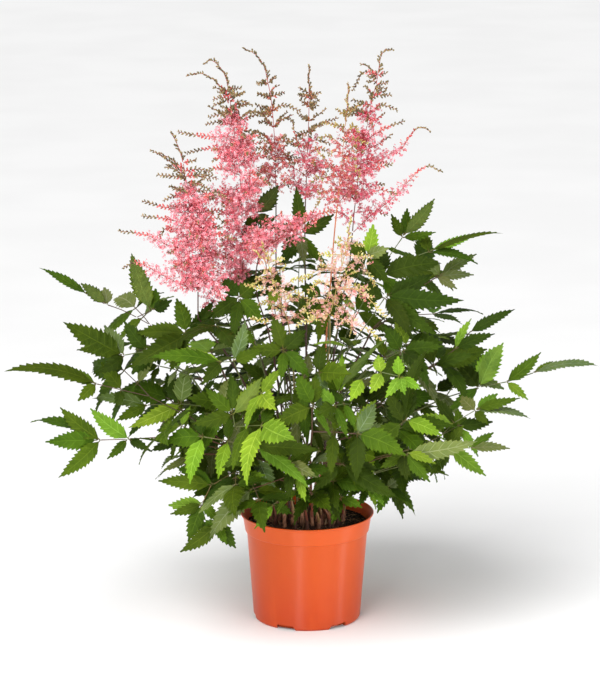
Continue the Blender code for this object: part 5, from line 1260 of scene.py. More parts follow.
# -------------------------------------------------------------- florets
def flower(seed):
    """One open floret of radius 1: five narrow petals, each a closed trough."""
    r = random.Random(seed)
    v, f, painted_shading = [], [], []
    for i in range(5):
        a = i * 2 * math.pi / 5 + r.uniform(-0.25, 0.25)
        el = r.uniform(0.15, 0.85)
        long = r.uniform(0.85, 1.15)
        w = r.uniform(0.20, 0.27)
        out = np.array((math.cos(a) * math.cos(el), math.sin(a) * math.cos(el), math.sin(el)))
        side = np.array((-math.sin(a), math.cos(a), 0.0))
        top = np.cross(out, side)
        q = [out * 0.03, out * 0.62 * long + side * w + top * 0.10, out * 0.62 * long - side * w + top * 0.10, out * long]
        k = len(v)
        tet = [(0, 1, 2), (1, 3, 2), (0, 2, 3), (0, 3, 1)]
        mid = sum(q) / 4
        for t in tet:
            p0, p1, p2 = (q[j] for j in t)
            if np.dot(np.cross(p1 - p0, p2 - p0), (p0 + p1 + p2) / 3 - mid) < 0:
                t = (t[0], t[2], t[1])
            f.append(tuple(j + k for j in t))
        v += q
        # painted shading: each petal darker at its foot in the floret's centre and lighter at its tip
        painted_shading += [0.82, 1.0, 1.0, 1.16]
    return np.array(v), np.array(f), np.array(painted_shading)


def bud():
    v = [(0.5, 0, 0), (0, 0.5, 0), (-0.5, 0, 0), (0, -0.5, 0), (0, 0, 0.90), (0, 0, -0.70)]
    f = []
    for i in range(4):
        j = (i + 1) % 4
        f.append((i, j, 4))
        f.append((j, i, 5))
    return np.array(v, float), np.array(f)


FLOWERS = [flower(seed) for seed in range(6)]
BUD_V, BUD_F = bud()
# painted shading of a bud: lighter at its tip, darker at its foot by the branch
BUD_PAINTED_SHADING = np.array([1.0, 1.0, 1.0, 1.0, 1.30, 0.7])
SPIN_V = np.array([(0, 0, 0), (1, 0, 0.45), (-0.5, 0.866, 0.45), (-0.5, -0.866, 0.45), (0, 0, 1.0)])
SPIN_F = np.array([(0, 2, 1), (0, 3, 2), (0, 1, 3), (4, 1, 2), (4, 2, 3), (4, 3, 1)])


def scatter(mesh, shape_v, shape_f, painted_shading, where, out, size, tint, np_rng, mat):
    """Copies of one small closed shape at points, each looking along out."""
    n = len(where)
    if n == 0:
        return
    z = unit(out)
    ref = np_rng.normal(size=(n, 3))
    x = unit(np.cross(ref, z))
    y = np.cross(z, x)
    size = np.asarray(size, float)
    if size.ndim == 1:
        size = np.repeat(size[:, None], 3, 1)
    loc = shape_v[None, :, :] * size[:, None, :]
    P = where[:, None, :] + loc[:, :, 0:1] * x[:, None, :] + loc[:, :, 1:2] * y[:, None, :] + loc[:, :, 2:3] * z[:, None, :]
    m = len(shape_v)
    F = (shape_f[None, :, :] + (np.arange(n) * m)[:, None, None]).reshape(-1, 3)
    # the tint times the painted shading of each vertex
    C = tint[:, None, :] * painted_shading[None, :, None]
    mesh.add(P.reshape(-1, 3), F, C.reshape(-1, 3), None, mat)


class Bloom:
    """Gathers the florets, buds and threads of one plume, to be set at once."""

    def __init__(self):
        self.kinds = {"floret": ([], [], [], []), "bud": ([], [], [], []), "thread": ([], [], [], [])}

    def put(self, kind, where, out, size, tint):
        k = self.kinds[kind]
        k[0].append(where)
        k[1].append(out)
        k[2].append(size)
        k[3].append(tint)

    def set_on(self, mesh, np_rng):
        for kind, (where, out, size, tint) in self.kinds.items():
            if not where:
                continue
            where, out, tint = (np.vstack(x) for x in (where, out, tint))
            size = np.concatenate(size) if np.ndim(size[0]) == 1 else np.vstack(size)
            if kind == "floret":
                which = np_rng.integers(0, len(FLOWERS), len(where))
                for i, (v, f, painted_shading) in enumerate(FLOWERS):
                    q = which == i
                    scatter(mesh, v, f, painted_shading, where[q], out[q], size[q], tint[q], np_rng, 1)
            elif kind == "bud":
                scatter(mesh, BUD_V, BUD_F, BUD_PAINTED_SHADING, where, out, size, tint, np_rng, 1)
            else:
                scatter(mesh, SPIN_V, SPIN_F, np.ones(5), where, out, size, tint, np_rng, 0)


PINK = np.array([(0.93, 0.270, 0.335), (0.95, 0.350, 0.415), (0.85, 0.150, 0.205), (0.97, 0.47, 0.52), (0.92, 0.21, 0.26), (0.97, 0.55, 0.59)])
DEEP = np.array([(0.86, 0.160, 0.250), (0.78, 0.080, 0.150), (0.90, 0.270, 0.340), (0.70, 0.100, 0.120), (0.93, 0.38, 0.43)])
ROSE = np.array([(0.66, 0.110, 0.130), (0.74, 0.170, 0.170), (0.56, 0.090, 0.075), (0.80, 0.26, 0.28), (0.60, 0.16, 0.10)])
PEACH = np.array([(0.86, 0.50, 0.42), (0.90, 0.44, 0.42), (0.86, 0.60, 0.46), (0.92, 0.58, 0.55), (0.74, 0.24, 0.22), (0.78, 0.56, 0.30)])
BROWN_BUDS = np.array([(0.170, 0.125, 0.038), (0.090, 0.060, 0.022), (0.290, 0.205, 0.080), (0.220, 0.120, 0.042), (0.140, 0.118, 0.035), (0.36, 0.25, 0.11)])
RUST_BUDS = np.array([(0.46, 0.145, 0.048), (0.36, 0.120, 0.060), (0.60, 0.130, 0.110), (0.52, 0.22, 0.09), (0.26, 0.11, 0.04)])
OLIVE_BUDS = np.array([(0.36, 0.29, 0.065), (0.28, 0.20, 0.045), (0.48, 0.37, 0.12), (0.42, 0.20, 0.08), (0.22, 0.17, 0.04)])
GOLD_BUDS = np.array([(0.50, 0.44, 0.10), (0.62, 0.54, 0.18), (0.36, 0.34, 0.06), (0.60, 0.36, 0.15), (0.74, 0.66, 0.32), (0.56, 0.50, 0.13)])
ROSE_BUDS = np.array([(0.62, 0.085, 0.080), (0.72, 0.16, 0.16), (0.46, 0.07, 0.05), (0.80, 0.26, 0.24)])
# petals, buds next to the petals, buds at the tips, fullness, floret share
DRESS = {
    "plume_01": (PINK, ROSE_BUDS, BROWN_BUDS, 1.30, 3),
    "plume_02": (ROSE, RUST_BUDS, BROWN_BUDS, 0.85, 2),
    "plume_03": (DEEP, RUST_BUDS, BROWN_BUDS, 0.85, 2),
    "plume_04": (ROSE, OLIVE_BUDS, OLIVE_BUDS, 0.62, 1),
    "plume_05": (DEEP, ROSE_BUDS, BROWN_BUDS, 0.92, 2),
    "plume_06": (PINK, ROSE_BUDS, BROWN_BUDS, 1.32, 3),
    "plume_07": (PEACH, GOLD_BUDS, GOLD_BUDS, 0.55, 1),
    "plume_08": (PEACH, GOLD_BUDS, GOLD_BUDS, 0.55, 1),
    "plume_09": (PINK, ROSE_BUDS, RUST_BUDS, 1.25, 3),
}


def pick(palette, n, np_rng):
    a = palette[np_rng.integers(0, len(palette), n)]
    return a * np_rng.uniform(0.84, 1.14, (n, 1))


def side_branch(mesh, bloom, line, state, dress, np_rng, tip=False, height=0.5):
    """One side branch of a plume: its thread, sub-branchlets of open florets
    along its inner part, and little fingers of closed buds out to its tip."""
    petals, near_buds, tip_buds, full, share = dress
    c = curve_through(line, 0.006)
    if len(c) < 3:
        c = curve_through([Vector(line[0]), (Vector(line[0]) + Vector(line[-1])) * 0.5, Vector(line[-1])], 0.004)
    n = len(c)
    arc = np.concatenate([[0], np.cumsum(np.linalg.norm(np.diff(c, axis=0), axis=1))])
    L = arc[-1]
    t = arc / L
    red = np.array((0.40, 0.060, 0.055)) if state < 2 else np.array((0.55, 0.40, 0.13))
    tube(mesh, c, 0.00060 * (1 - 0.45 * t), 3, red, 0)
    T, S_, U = frames_along(c)

    def at(pos):
        i = int(np.clip(np.searchsorted(arc, pos) - 1, 0, n - 2))
        f = (pos - arc[i]) / max(1e-9, arc[i + 1] - arc[i])
        return c[i] * (1 - f) + c[i + 1] * f, T[i], S_[i], U[i]

    droop = L > 0.018 and c[-1][2] < c[0][2] - 0.008
    if state == 0:
        open_to = 0.30 if height < 0.12 and not tip else 0.0
    else:
        open_to = 0.95 if droop else (0.90 if L < 0.040 else 0.74) - 0.34 * height ** 2
        if state == 2:
            open_to *= 0.72
    if tip:
        red = np.array((0.22, 0.105, 0.045))

    ang = np_rng.uniform(0, 6.28)
    pos = max(0.0015, 0.06 * L)
    widest = min(0.0160 if droop else 0.0125, max(0.0056, 0.40 * L)) * (0.8 + 0.22 * full)
    while pos < L * open_to:
        u = pos / (L * open_to)
        p, d, s, w = at(pos)
        ang += 2.4
        o = math.cos(ang) * s + math.sin(ang) * w
        sub = widest * (0.42 + 0.72 * math.sin(min(math.pi, 0.55 + 2.55 * u))) * np_rng.uniform(0.70, 1.15)
        dirn = unit(o * 0.95 + d * 0.50 + np.array([0, 0, 0.10]))
        m = max(2, int(round(sub / 0.00150)))
        tt = (np.arange(m) + 0.75) / m
        rad = unit(np_rng.normal(size=(m, 3)))
        where = p + dirn * (sub * tt)[:, None] + rad * np_rng.uniform(0.0008, 0.0020, (m, 1))
        bloom.put("thread", p[None], dirn[None], np.array([[0.00030, 0.00030, sub]]), red[None] * 1.2)
        young = u > 0.84
        kind_bud = np_rng.random(m) < (0.50 if young else 0.07)
        q = ~kind_bud
        if q.any():
            bloom.put("floret", where[q], rad[q] + dirn * 0.8, np_rng.uniform(0.0019, 0.0029, q.sum()), pick(petals, q.sum(), np_rng))
        q = kind_bud
        if q.any():
            bloom.put("bud", where[q], rad[q] + dirn * 0.9, np_rng.uniform(0.0015, 0.0021, q.sum()), pick(near_buds, q.sum(), np_rng))
        pos += 0.0027 / full
    side = 1.0
    pos = max(pos, 0.0015)
    first = pos
    while pos < L:
        u = (pos - first) / max(1e-6, L - first)
        p, d, s, w = at(pos)
        ang += 2.6
        turn = 0.55 * math.sin(pos * 900.0) + np_rng.uniform(-0.4, 0.4)
        o = side * (math.cos(turn) * s + math.sin(turn) * w)
        side = -side
        room = min(1.0, (L - pos) / 0.012)
        if tip:
            long = 0.0039 + 0.0010 * (1 - u)
        elif state == 0:
            long = 0.0022 + 0.0020 * (1 - u)
        else:
            long = 0.0020 + 0.0016 * (1 - u)
        k = max(1, int(round(long / 0.0013)))
        dirn = unit(o * 0.9 + d * (0.45 if tip else 0.7))
        tt = (np.arange(k) + 0.70) * (0.00150 * room + 0.0003 if tip else 0.0012)
        rad = unit(np_rng.normal(size=(k, 3)))
        where = p + dirn * tt[:, None] + rad * 0.00045
        if state == 1 and u < 0.45:
            pal = near_buds
        elif state == 0 and not tip and u < 0.25:
            pal = near_buds if np_rng.random() < 0.5 else tip_buds
        else:
            pal = tip_buds
        bloom.put("bud", where, rad * 0.35 + dirn, np_rng.uniform(0.0022, 0.0030, k) * (0.76 + 0.24 * room), pick(pal, k, np_rng))
        pos += (0.0016 + 0.0012 * room) if tip else (0.0019 + 0.0006 * room)
    p, d, s, w = at(L)
    bloom.put("bud", (p + d * 0.0006)[None], d[None], np.array([0.0015]), pick(tip_buds, 1, np_rng))


# ---------------------------------------------------------------- materials
def nodes_of(name):
    m = bpy.data.materials.new(name)
    m.use_nodes = True
    t = m.node_tree
    return m, t, t.nodes["Principled BSDF"]


def link(t, a, b):
    t.links.new(a, b)


def node(t, kind, **props):
    n = t.nodes.new(kind)
    for k, v in props.items():
        setattr(n, k, v)
    return n


def mathn(t, op, a, b=None, clamp=False):
    n = node(t, "ShaderNodeMath", operation=op, use_clamp=clamp)
    for i, x in enumerate((a, b)):
        if x is None:
            continue
        if isinstance(x, (int, float)):
            n.inputs[i].default_value = x
        else:
            link(t, x, n.inputs[i])
    return n.outputs[0]


def smooth(t, x, lo, hi, a=0.0, b=1.0):
    n = node(t, "ShaderNodeMapRange", interpolation_type="SMOOTHSTEP")
    link(t, x, n.inputs["Value"])
    n.inputs["From Min"].default_value = lo
    n.inputs["From Max"].default_value = hi
    n.inputs["To Min"].default_value = a
    n.inputs["To Max"].default_value = b
    return n.outputs["Result"]


def mix(t, f, a, b, mode="MIX"):
    n = node(t, "ShaderNodeMix", data_type="RGBA", blend_type=mode)
    if isinstance(f, (int, float)):
        n.inputs[0].default_value = f
    else:
        link(t, f, n.inputs[0])
    for i, x in ((6, a), (7, b)):
        if isinstance(x, tuple):
            n.inputs[i].default_value = (*x, 1.0)
        else:
            link(t, x, n.inputs[i])
    return n.outputs[2]


def noise_at(t, coord, scale, detail=3.0, rough=0.55, stretch=None):
    if stretch is not None:
        mp = node(t, "ShaderNodeMapping")
        mp.inputs["Scale"].default_value = stretch
        link(t, coord, mp.inputs["Vector"])
        coord = mp.outputs[0]
    n = node(t, "ShaderNodeTexNoise")
    n.inputs["Scale"].default_value = scale
    n.inputs["Detail"].default_value = detail
    n.inputs["Roughness"].default_value = rough
    link(t, coord, n.inputs["Vector"])
    return n.outputs["Fac"]


def bump(t, b, height, strength, dist):
    n = node(t, "ShaderNodeBump")
    n.inputs["Strength"].default_value = strength
    n.inputs["Distance"].default_value = dist
    link(t, height, n.inputs["Height"])
    link(t, n.outputs[0], b.inputs["Normal"])


def leaf_material(name, under):
    m, t, b = nodes_of(name)
    tint = node(t, "ShaderNodeAttribute", attribute_name="tint").outputs["Color"]
    uv = node(t, "ShaderNodeUVMap", uv_map="leaf").outputs[0]
    obj = node(t, "ShaderNodeTexCoord").outputs["Object"]
    sep = node(t, "ShaderNodeSeparateXYZ")
    link(t, uv, sep.inputs[0])
    across = mathn(t, "ABSOLUTE", mathn(t, "SUBTRACT", mathn(t, "MULTIPLY", sep.outputs[0], 2.0), 1.0))
    run = mathn(t, "MULTIPLY", sep.outputs[1], 10.0)
    wob = mathn(t, "MULTIPLY", noise_at(t, obj, 120.0, 1.0), 0.22)
    ph = mathn(t, "FRACT", mathn(t, "ADD", mathn(t, "SUBTRACT", run, mathn(t, "MULTIPLY", across, 0.95)), wob))
    off = mathn(t, "ABSOLUTE", mathn(t, "SUBTRACT", ph, 0.5))
    lateral = smooth(t, off, 0.0, 0.085, 1.0, 0.0)
    # fine veins that branch off the lateral ones
    ph2 = mathn(t, "FRACT", mathn(t, "ADD", mathn(t, "MULTIPLY", run, 3.0), mathn(t, "MULTIPLY", across, 5.5)))
    fine = mathn(t, "MULTIPLY", smooth(t, mathn(t, "ABSOLUTE", mathn(t, "SUBTRACT", ph2, 0.5)), 0.0, 0.14, 1.0, 0.0), 0.35)
    mid = smooth(t, across, 0.015, 0.075, 1.0, 0.0)
    vein = mathn(t, "MAXIMUM", mathn(t, "MAXIMUM", mathn(t, "MULTIPLY", lateral, 0.8), fine), mid)
    vor = node(t, "ShaderNodeTexVoronoi", feature="DISTANCE_TO_EDGE")
    vor.inputs["Scale"].default_value = 900.0
    link(t, obj, vor.inputs["Vector"])
    cell = smooth(t, vor.outputs["Distance"], 0.0, 0.12, 0.0, 1.0)
    big = noise_at(t, obj, 38.0, 3.0)
    small = noise_at(t, obj, 260.0, 2.0)
    base = mix(t, smooth(t, big, 0.32, 0.70), mix(t, 1.0, tint, (0.74, 0.80, 0.74), "MULTIPLY"), mix(t, 1.0, tint, (1.20, 1.14, 1.02), "MULTIPLY"))
    base = mix(t, mathn(t, "MULTIPLY", smooth(t, small, 0.35, 0.75), 0.30), base, mix(t, 1.0, tint, (1.35, 1.25, 0.8), "MULTIPLY"))
    light = mix(t, 1.0, tint, (2.5, 2.1, 4.0) if not under else (1.45, 1.40, 1.35), "MULTIPLY")
    base = mix(t, mathn(t, "MULTIPLY", vein, 0.62), base, light)
    rim = smooth(t, across, 0.88, 1.0)
    base = mix(t, mathn(t, "MULTIPLY", rim, 0.30), base, mix(t, 1.0, tint, (1.5, 1.1, 0.7), "MULTIPLY"))
    link(t, base, b.inputs["Base Color"])
    rough = mathn(t, "ADD", mathn(t, "MULTIPLY", small, 0.16), 0.44 if not under else 0.60)
    link(t, rough, b.inputs["Roughness"])
    b.inputs["Specular IOR Level"].default_value = 0.22 if not under else 0.12
    b.inputs["Specular Tint"].default_value = (0.86, 1.0, 0.42, 1.0)
    h = mathn(t, "ADD", mathn(t, "MULTIPLY", vein, 1.0 if under else -1.0), mathn(t, "ADD", mathn(t, "MULTIPLY", cell, 0.22), mathn(t, "MULTIPLY", small, 0.5)))
    bump(t, b, h, 0.55, 0.0006)
    return m


def stalk_material(name):
    m, t, b = nodes_of(name)
    tint = node(t, "ShaderNodeAttribute", attribute_name="tint").outputs["Color"]
    obj = node(t, "ShaderNodeTexCoord").outputs["Object"]
    uv = node(t, "ShaderNodeUVMap", uv_map="leaf").outputs[0]
    streak = noise_at(t, uv, 6.0, 4.0, 0.6, (6.0, 1.2, 1.0))
    blot = noise_at(t, obj, 90.0, 3.0)
    base = mix(t, smooth(t, streak, 0.35, 0.68), mix(t, 1.0, tint, (0.66, 0.62, 0.62), "MULTIPLY"), mix(t, 1.0, tint, (1.30, 1.22, 1.10), "MULTIPLY"))
    base = mix(t, mathn(t, "MULTIPLY", smooth(t, blot, 0.50, 0.78), 0.45), base, mix(t, 1.0, tint, (1.5, 0.75, 0.6), "MULTIPLY"))
    link(t, base, b.inputs["Base Color"])
    link(t, mathn(t, "ADD", mathn(t, "MULTIPLY", blot, 0.2), 0.38), b.inputs["Roughness"])
    bump(t, b, mathn(t, "ADD", streak, mathn(t, "MULTIPLY", blot, 0.5)), 0.5, 0.0003)
    return m


def floret_material(name):
    m, t, b = nodes_of(name)
    tint = node(t, "ShaderNodeAttribute", attribute_name="tint").outputs["Color"]
    obj = node(t, "ShaderNodeTexCoord").outputs["Object"]
    n1 = noise_at(t, obj, 700.0, 2.0)
    n2 = noise_at(t, obj, 60.0, 2.0)
    base = mix(t, smooth(t, n1, 0.30, 0.72), mix(t, 1.0, tint, (0.80, 0.70, 0.74), "MULTIPLY"), mix(t, 1.0, tint, (1.14, 1.22, 1.20), "MULTIPLY"))
    base = mix(t, mathn(t, "MULTIPLY", smooth(t, n2, 0.45, 0.75), 0.35), base, mix(t, 1.0, tint, (1.10, 1.30, 1.25), "MULTIPLY"))
    link(t, base, b.inputs["Base Color"])
    link(t, mathn(t, "ADD", mathn(t, "MULTIPLY", n1, 0.2), 0.55), b.inputs["Roughness"])
    b.inputs["Specular IOR Level"].default_value = 0.30
    b.inputs["Sheen Weight"].default_value = 0.25
    b.inputs["Sheen Roughness"].default_value = 0.5
    bump(t, b, n1, 0.35, 0.0003)
    return m



# --------------------------------------------------------------- potted part
def ring_mesh(name, profile, steps, cap_low=True, cap_top=True):
    """A profile of (radius, height) turned round Z; its first and last points
    lie on the axis."""
    p = np.array(profile, float)
    inner = p[1:-1]
    n = len(inner)
    a = np.arange(steps) / steps * 2 * math.pi
    x = inner[:, 0][:, None] * np.cos(a)[None, :]
    y = inner[:, 0][:, None] * np.sin(a)[None, :]
    z = np.repeat(inner[:, 1][:, None], steps, 1)
    v = np.stack([x, y, z], -1).reshape(-1, 3)
    v = np.vstack([v, [[0, 0, p[0, 1]], [0, 0, p[-1, 1]]]])
    faces = []
    for i in range(n - 1):
        for j in range(steps):
            k = (j + 1) % steps
            faces.append((i * steps + j, (i + 1) * steps + j, (i + 1) * steps + k, i * steps + k))
    b0, b1 = n * steps, n * steps + 1
    for j in range(steps):
        k = (j + 1) % steps
        faces.append((b0, j, k))
        faces.append((b1, (n - 1) * steps + k, (n - 1) * steps + j))
    me = bpy.data.meshes.new(name)
    me.from_pydata(v.tolist(), [], faces)
    return me


def rounded(profile, radii, n=4):
    """The profile with its corners rounded to the radii given."""
    out = [profile[0]]
    for i in range(1, len(profile) - 1):
        p, q, r = (np.array(x, float) for x in profile[i - 1:i + 2])
        rad = radii.get(i, 0.0)
        d0, d1 = p - q, r - q
        l0, l1 = np.linalg.norm(d0), np.linalg.norm(d1)
        cut = min(rad, 0.45 * l0, 0.45 * l1)
        if cut <= 0:
            out.append(tuple(q))
            continue
        a, b = q + d0 / l0 * cut, q + d1 / l1 * cut
        for j in range(n + 1):
            t = j / n
            out.append(tuple(a * (1 - t) ** 2 + q * 2 * t * (1 - t) + b * t * t))
    out.append(profile[-1])
    return out


PROFILE = [
    (0.0, FLOOR_T),
    (FOOT_R - WALL - 0.002, FLOOR_T),
    (FOOT_R - WALL + 0.0003, FLOOR_T + 0.004),
    (BODY_TOP_R - WALL, BAND_LOW_Z + 0.001),
    (BAND_TOP_R - WALL, POT_H - 0.004),
    (LIP_R - 0.0014, POT_H),
    (LIP_R, POT_H - 0.0005),
    (LIP_R, POT_H - 0.0018),
    (BAND_TOP_R, POT_H - 0.0034),
    (BAND_LOW_R, BAND_LOW_Z),
    (BODY_TOP_R + 0.0002, BAND_LOW_Z - 0.0009),
    (BODY_TOP_R, BAND_LOW_Z - 0.0022),
    (FOOT_R, 0.0024),
    (FOOT_R - 0.0020, 0.0),
    (0.0, 0.0),
]
prof = rounded(PROFILE, {1: 0.002, 2: 0.003, 3: 0.003, 4: 0.003, 5: 0.0006, 6: 0.0005, 7: 0.0006, 8: 0.0022, 9: 0.0009, 10: 0.0005, 11: 0.0008, 12: 0.0022, 13: 0.0010})
# the long walls get rows of their own, so that they can carry a slight wave
full = [prof[0]]
for p, q in zip(prof, prof[1:]):
    n = max(1, int(math.hypot(q[0] - p[0], q[1] - p[1]) / 0.012))
    for j in range(1, n + 1):
        t = j / n
        full.append((p[0] + (q[0] - p[0]) * t, p[1] + (q[1] - p[1]) * t))
pot_mesh = ring_mesh("pot_wall", full, 160)
for v in pot_mesh.vertices:
    r = math.hypot(v.co.x, v.co.y)
    if r > 0.05:
        a = math.atan2(v.co.y, v.co.x)
        h = v.co.z / POT_H
        w = 0.00022 * math.sin(2 * a + 0.8) + 0.00010 * math.sin(5 * a + 3 * h) + 0.00006 * math.sin(9 * a - 5 * h)
        s = 1 + (w - 0.00035) * min(1.0, h * 3 + 0.3) / r
        v.co.x *= s
        v.co.y *= s
pot_shell = bpy.data.objects.new("pot_moulded", pot_mesh)
bpy.context.scene.collection.objects.link(pot_shell)

cutters = []
for i in range(NOTCHES):
    a = math.radians(-24 + 60 * i)
    bm = bmesh.new()
    bmesh.ops.create_cube(bm, size=1.0)
    for v in bm.verts:
        wide = 0.0142 if v.co.z < 0 else 0.0112
        v.co = Vector((wide if v.co.x > 0 else -wide, 0.011 * (1 if v.co.y > 0 else -1), -0.004 if v.co.z < 0 else 0.0060))
    up_edges = [e for e in bm.edges if all(v.co.z > 0 for v in e.verts) and abs(e.verts[0].co.x - e.verts[1].co.x) < 1e-5]
    bmesh.ops.bevel(bm, geom=up_edges, offset=0.0016, segments=4, affect="EDGES", profile=0.5)
    me = bpy.data.meshes.new("foot_gap")
    bm.to_mesh(me)
    bm.free()
    o = bpy.data.objects.new("foot_gap_%d" % i, me)
    bpy.context.scene.collection.objects.link(o)
    o.rotation_euler = (0, 0, a)
    o.location = (math.sin(a) * (FOOT_R + 0.001), -math.cos(a) * (FOOT_R + 0.001), 0)
    cutters.append(o)
    bm = bmesh.new()
    bmesh.ops.create_cone(bm, cap_ends=True, segments=28, radius1=0.0045, radius2=0.0045, depth=0.02)
    me = bpy.data.meshes.new("drain")
    bm.to_mesh(me)
    bm.free()
    o = bpy.data.objects.new("drain_%d" % i, me)
    bpy.context.scene.collection.objects.link(o)
    o.location = (math.sin(a) * 0.046, -math.cos(a) * 0.046, 0)
    cutters.append(o)
for o in cutters:
    m = pot_shell.modifiers.new(o.name, "BOOLEAN")
    m.operation = "DIFFERENCE"
    m.solver = "EXACT"
    m.object = o
deps = bpy.context.evaluated_depsgraph_get()
deps.update()
done = bpy.data.meshes.new_from_object(pot_shell.evaluated_get(deps))
pot_shell.modifiers.clear()
pot_shell.data = done
for o in cutters:
    bpy.data.objects.remove(o, do_unlink=True)
done.shade_smooth()
done.set_sharp_from_angle(angle=math.radians(42))

m, t, b = nodes_of("pot_plastic")
obj = node(t, "ShaderNodeTexCoord").outputs["Object"]
sep = node(t, "ShaderNodeSeparateXYZ")
link(t, obj, sep.inputs[0])
z = sep.outputs[2]
cloud = noise_at(t, obj, 16.0, 3.0)
flow = noise_at(t, obj, 60.0, 3.0, 0.6, (1.0, 1.0, 0.10))
fine = noise_at(t, obj, 900.0, 2.0)
# painted shade: the wall is darker towards the foot and lighter towards the top, as the light falls
base = mix(t, smooth(t, z, 0.0, 0.115), (0.44, 0.042, 0.003), (0.58, 0.078, 0.006))
base = mix(t, smooth(t, z, 0.1125, 0.1150), base, (0.63, 0.090, 0.010))
base = mix(t, mathn(t, "MULTIPLY", smooth(t, cloud, 0.35, 0.70), 0.30), base, (0.60, 0.086, 0.010))
base = mix(t, mathn(t, "MULTIPLY", smooth(t, flow, 0.52, 0.75), 0.12), base, (0.68, 0.125, 0.022))
dust = noise_at(t, obj, 420.0, 2.0)
low = smooth(t, z, 0.018, 0.0, 0.0, 1.0)
base = mix(t, mathn(t, "MULTIPLY", mathn(t, "MULTIPLY", smooth(t, dust, 0.45, 0.75), low), 0.35), base, (0.42, 0.10, 0.03))
speck = smooth(t, noise_at(t, obj, 1300.0, 1.0), 0.72, 0.80)
base = mix(t, mathn(t, "MULTIPLY", speck, 0.35), base, (0.50, 0.06, 0.015))
link(t, base, b.inputs["Base Color"])
link(t, mathn(t, "ADD", mathn(t, "MULTIPLY", cloud, 0.14), mathn(t, "ADD", mathn(t, "MULTIPLY", fine, 0.06), 0.30)), b.inputs["Roughness"])
b.inputs["Specular IOR Level"].default_value = 0.36
b.inputs["Anisotropic"].default_value = 0.85
b.inputs["Anisotropic Rotation"].default_value = 0.25
round_z = node(t, "ShaderNodeTangent", direction_type="RADIAL", axis="Z")
link(t, round_z.outputs[0], b.inputs["Tangent"])
b.inputs["Subsurface Weight"].default_value = 0.10
b.inputs["Subsurface Radius"].default_value = (0.010, 0.003, 0.001)
b.inputs["Subsurface Scale"].default_value = 0.4
bump(t, b, mathn(t, "ADD", mathn(t, "MULTIPLY", flow, 1.0), mathn(t, "MULTIPLY", fine, 0.12)), 0.25, 0.0006)
done.materials.clear()
done.materials.append(m)
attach(pot_shell, "root")
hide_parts("pot")

# --------------------------------------------------------------------- soil
from mathutils import noise as mnoise

soil_rng = random.Random("peat")
soil_np = np.random.default_rng(7)


def ground(x, y):
    """Height of the peat: lumpy, a little higher round the crown."""
    r = math.hypot(x, y)
    h = 0.0016 * mnoise.noise(Vector((x * 60, y * 60, 0.3)))
    h += 0.0011 * mnoise.noise(Vector((x * 170, y * 170, 1.7)))
    h += 0.0006 * mnoise.noise(Vector((x * 420, y * 420, 4.1)))
    h += 0.0022 * math.exp(-(r / 0.055) ** 4)
    h -= 0.0022 * max(0.0, (r - 0.062) / 0.014)
    return SOIL_Z + 0.0006 + h


R_TOP = inner_r(SOIL_Z) - 0.0005
rings, segs = 46, 150
verts = [(0, 0, ground(0, 0))]
for i in range(1, rings + 1):
    r = R_TOP * i / rings
    for j in range(segs):
        a = j / segs * 2 * math.pi
        x, y = r * math.cos(a), r * math.sin(a)
        verts.append((x, y, min(ground(x, y), POT_H - 0.006)))
faces = []
for j in range(segs):
    k = (j + 1) % segs
    faces.append((0, 1 + j, 1 + k))
for i in range(rings - 1):
    for j in range(segs):
        k = (j + 1) % segs
        faces.append((1 + i * segs + j, 1 + (i + 1) * segs + j, 1 + (i + 1) * segs + k, 1 + i * segs + k))
base_i = 1 + (rings - 1) * segs
prev = base_i
for zz in (BAND_LOW_Z, 0.09, 0.06, 0.03, 0.012):
    start = len(verts)
    for j in range(segs):
        a = j / segs * 2 * math.pi
        wob = 1.0 - 0.004 * abs(mnoise.noise(Vector((math.cos(a) * 9, math.sin(a) * 9, zz * 60))))
        rr = (inner_r(zz) - 0.0005) * wob
        verts.append((rr * math.cos(a), rr * math.sin(a), zz))
    for j in range(segs):
        k = (j + 1) % segs
        faces.append((prev + j, start + j, start + k, prev + k))
    prev = start
verts.append((0, 0, 0.012))
for j in range(segs):
    k = (j + 1) % segs
    faces.append((prev + j, len(verts) - 1, prev + k))
peat = Mesh()
dark = np.array((0.020, 0.012, 0.008))
tri = [f for f in faces if len(f) == 3]
quad = [f for f in faces if len(f) == 4]
peat.add(verts, [(quad, 0), (tri, 0)], dark)

CRUMB_V = np.array([(1, 0, 0), (0, 1, 0), (-1, 0, 0), (0, -1, 0), (0, 0, 0.8), (0, 0, -0.8)], float)
CRUMB_F = np.array([(i, (i + 1) % 4, 4) for i in range(4)] + [((i + 1) % 4, i, 5) for i in range(4)])
N = 3800
rr = np.sqrt(soil_np.random(N)) * (R_TOP - 0.0022)
aa = soil_np.random(N) * 6.2832
size = soil_np.uniform(0.0005, 0.0017, N) * (1 + 0.9 * (soil_np.random(N) > 0.93))
hue = np.array([(0.022, 0.013, 0.009), (0.045, 0.026, 0.016), (0.085, 0.050, 0.028), (0.012, 0.008, 0.006), (0.16, 0.105, 0.06)])
col = hue[soil_np.choice(5, N, p=[0.36, 0.27, 0.14, 0.18, 0.05])] * soil_np.uniform(0.8, 1.25, (N, 1))
P, F, C = [], [], []
for i in range(N):
    x, y = rr[i] * math.cos(aa[i]), rr[i] * math.sin(aa[i])
    q = np.linalg.qr(soil_np.normal(size=(3, 3)))[0]
    if np.linalg.det(q) < 0:
        q[:, 0] = -q[:, 0]
    s3 = size[i] * soil_np.uniform(0.45, 1.15, 3)
    vv = (CRUMB_V * soil_np.uniform(0.7, 1.3, (6, 1)) * s3) @ q.T
    P.append(vv + np.array((x, y, ground(x, y) + size[i] * 0.25)))
    F.append(CRUMB_F + 6 * i)
    C.append(np.tile(col[i], (6, 1)))
peat.add(np.vstack(P), np.vstack(F), np.vstack(C))
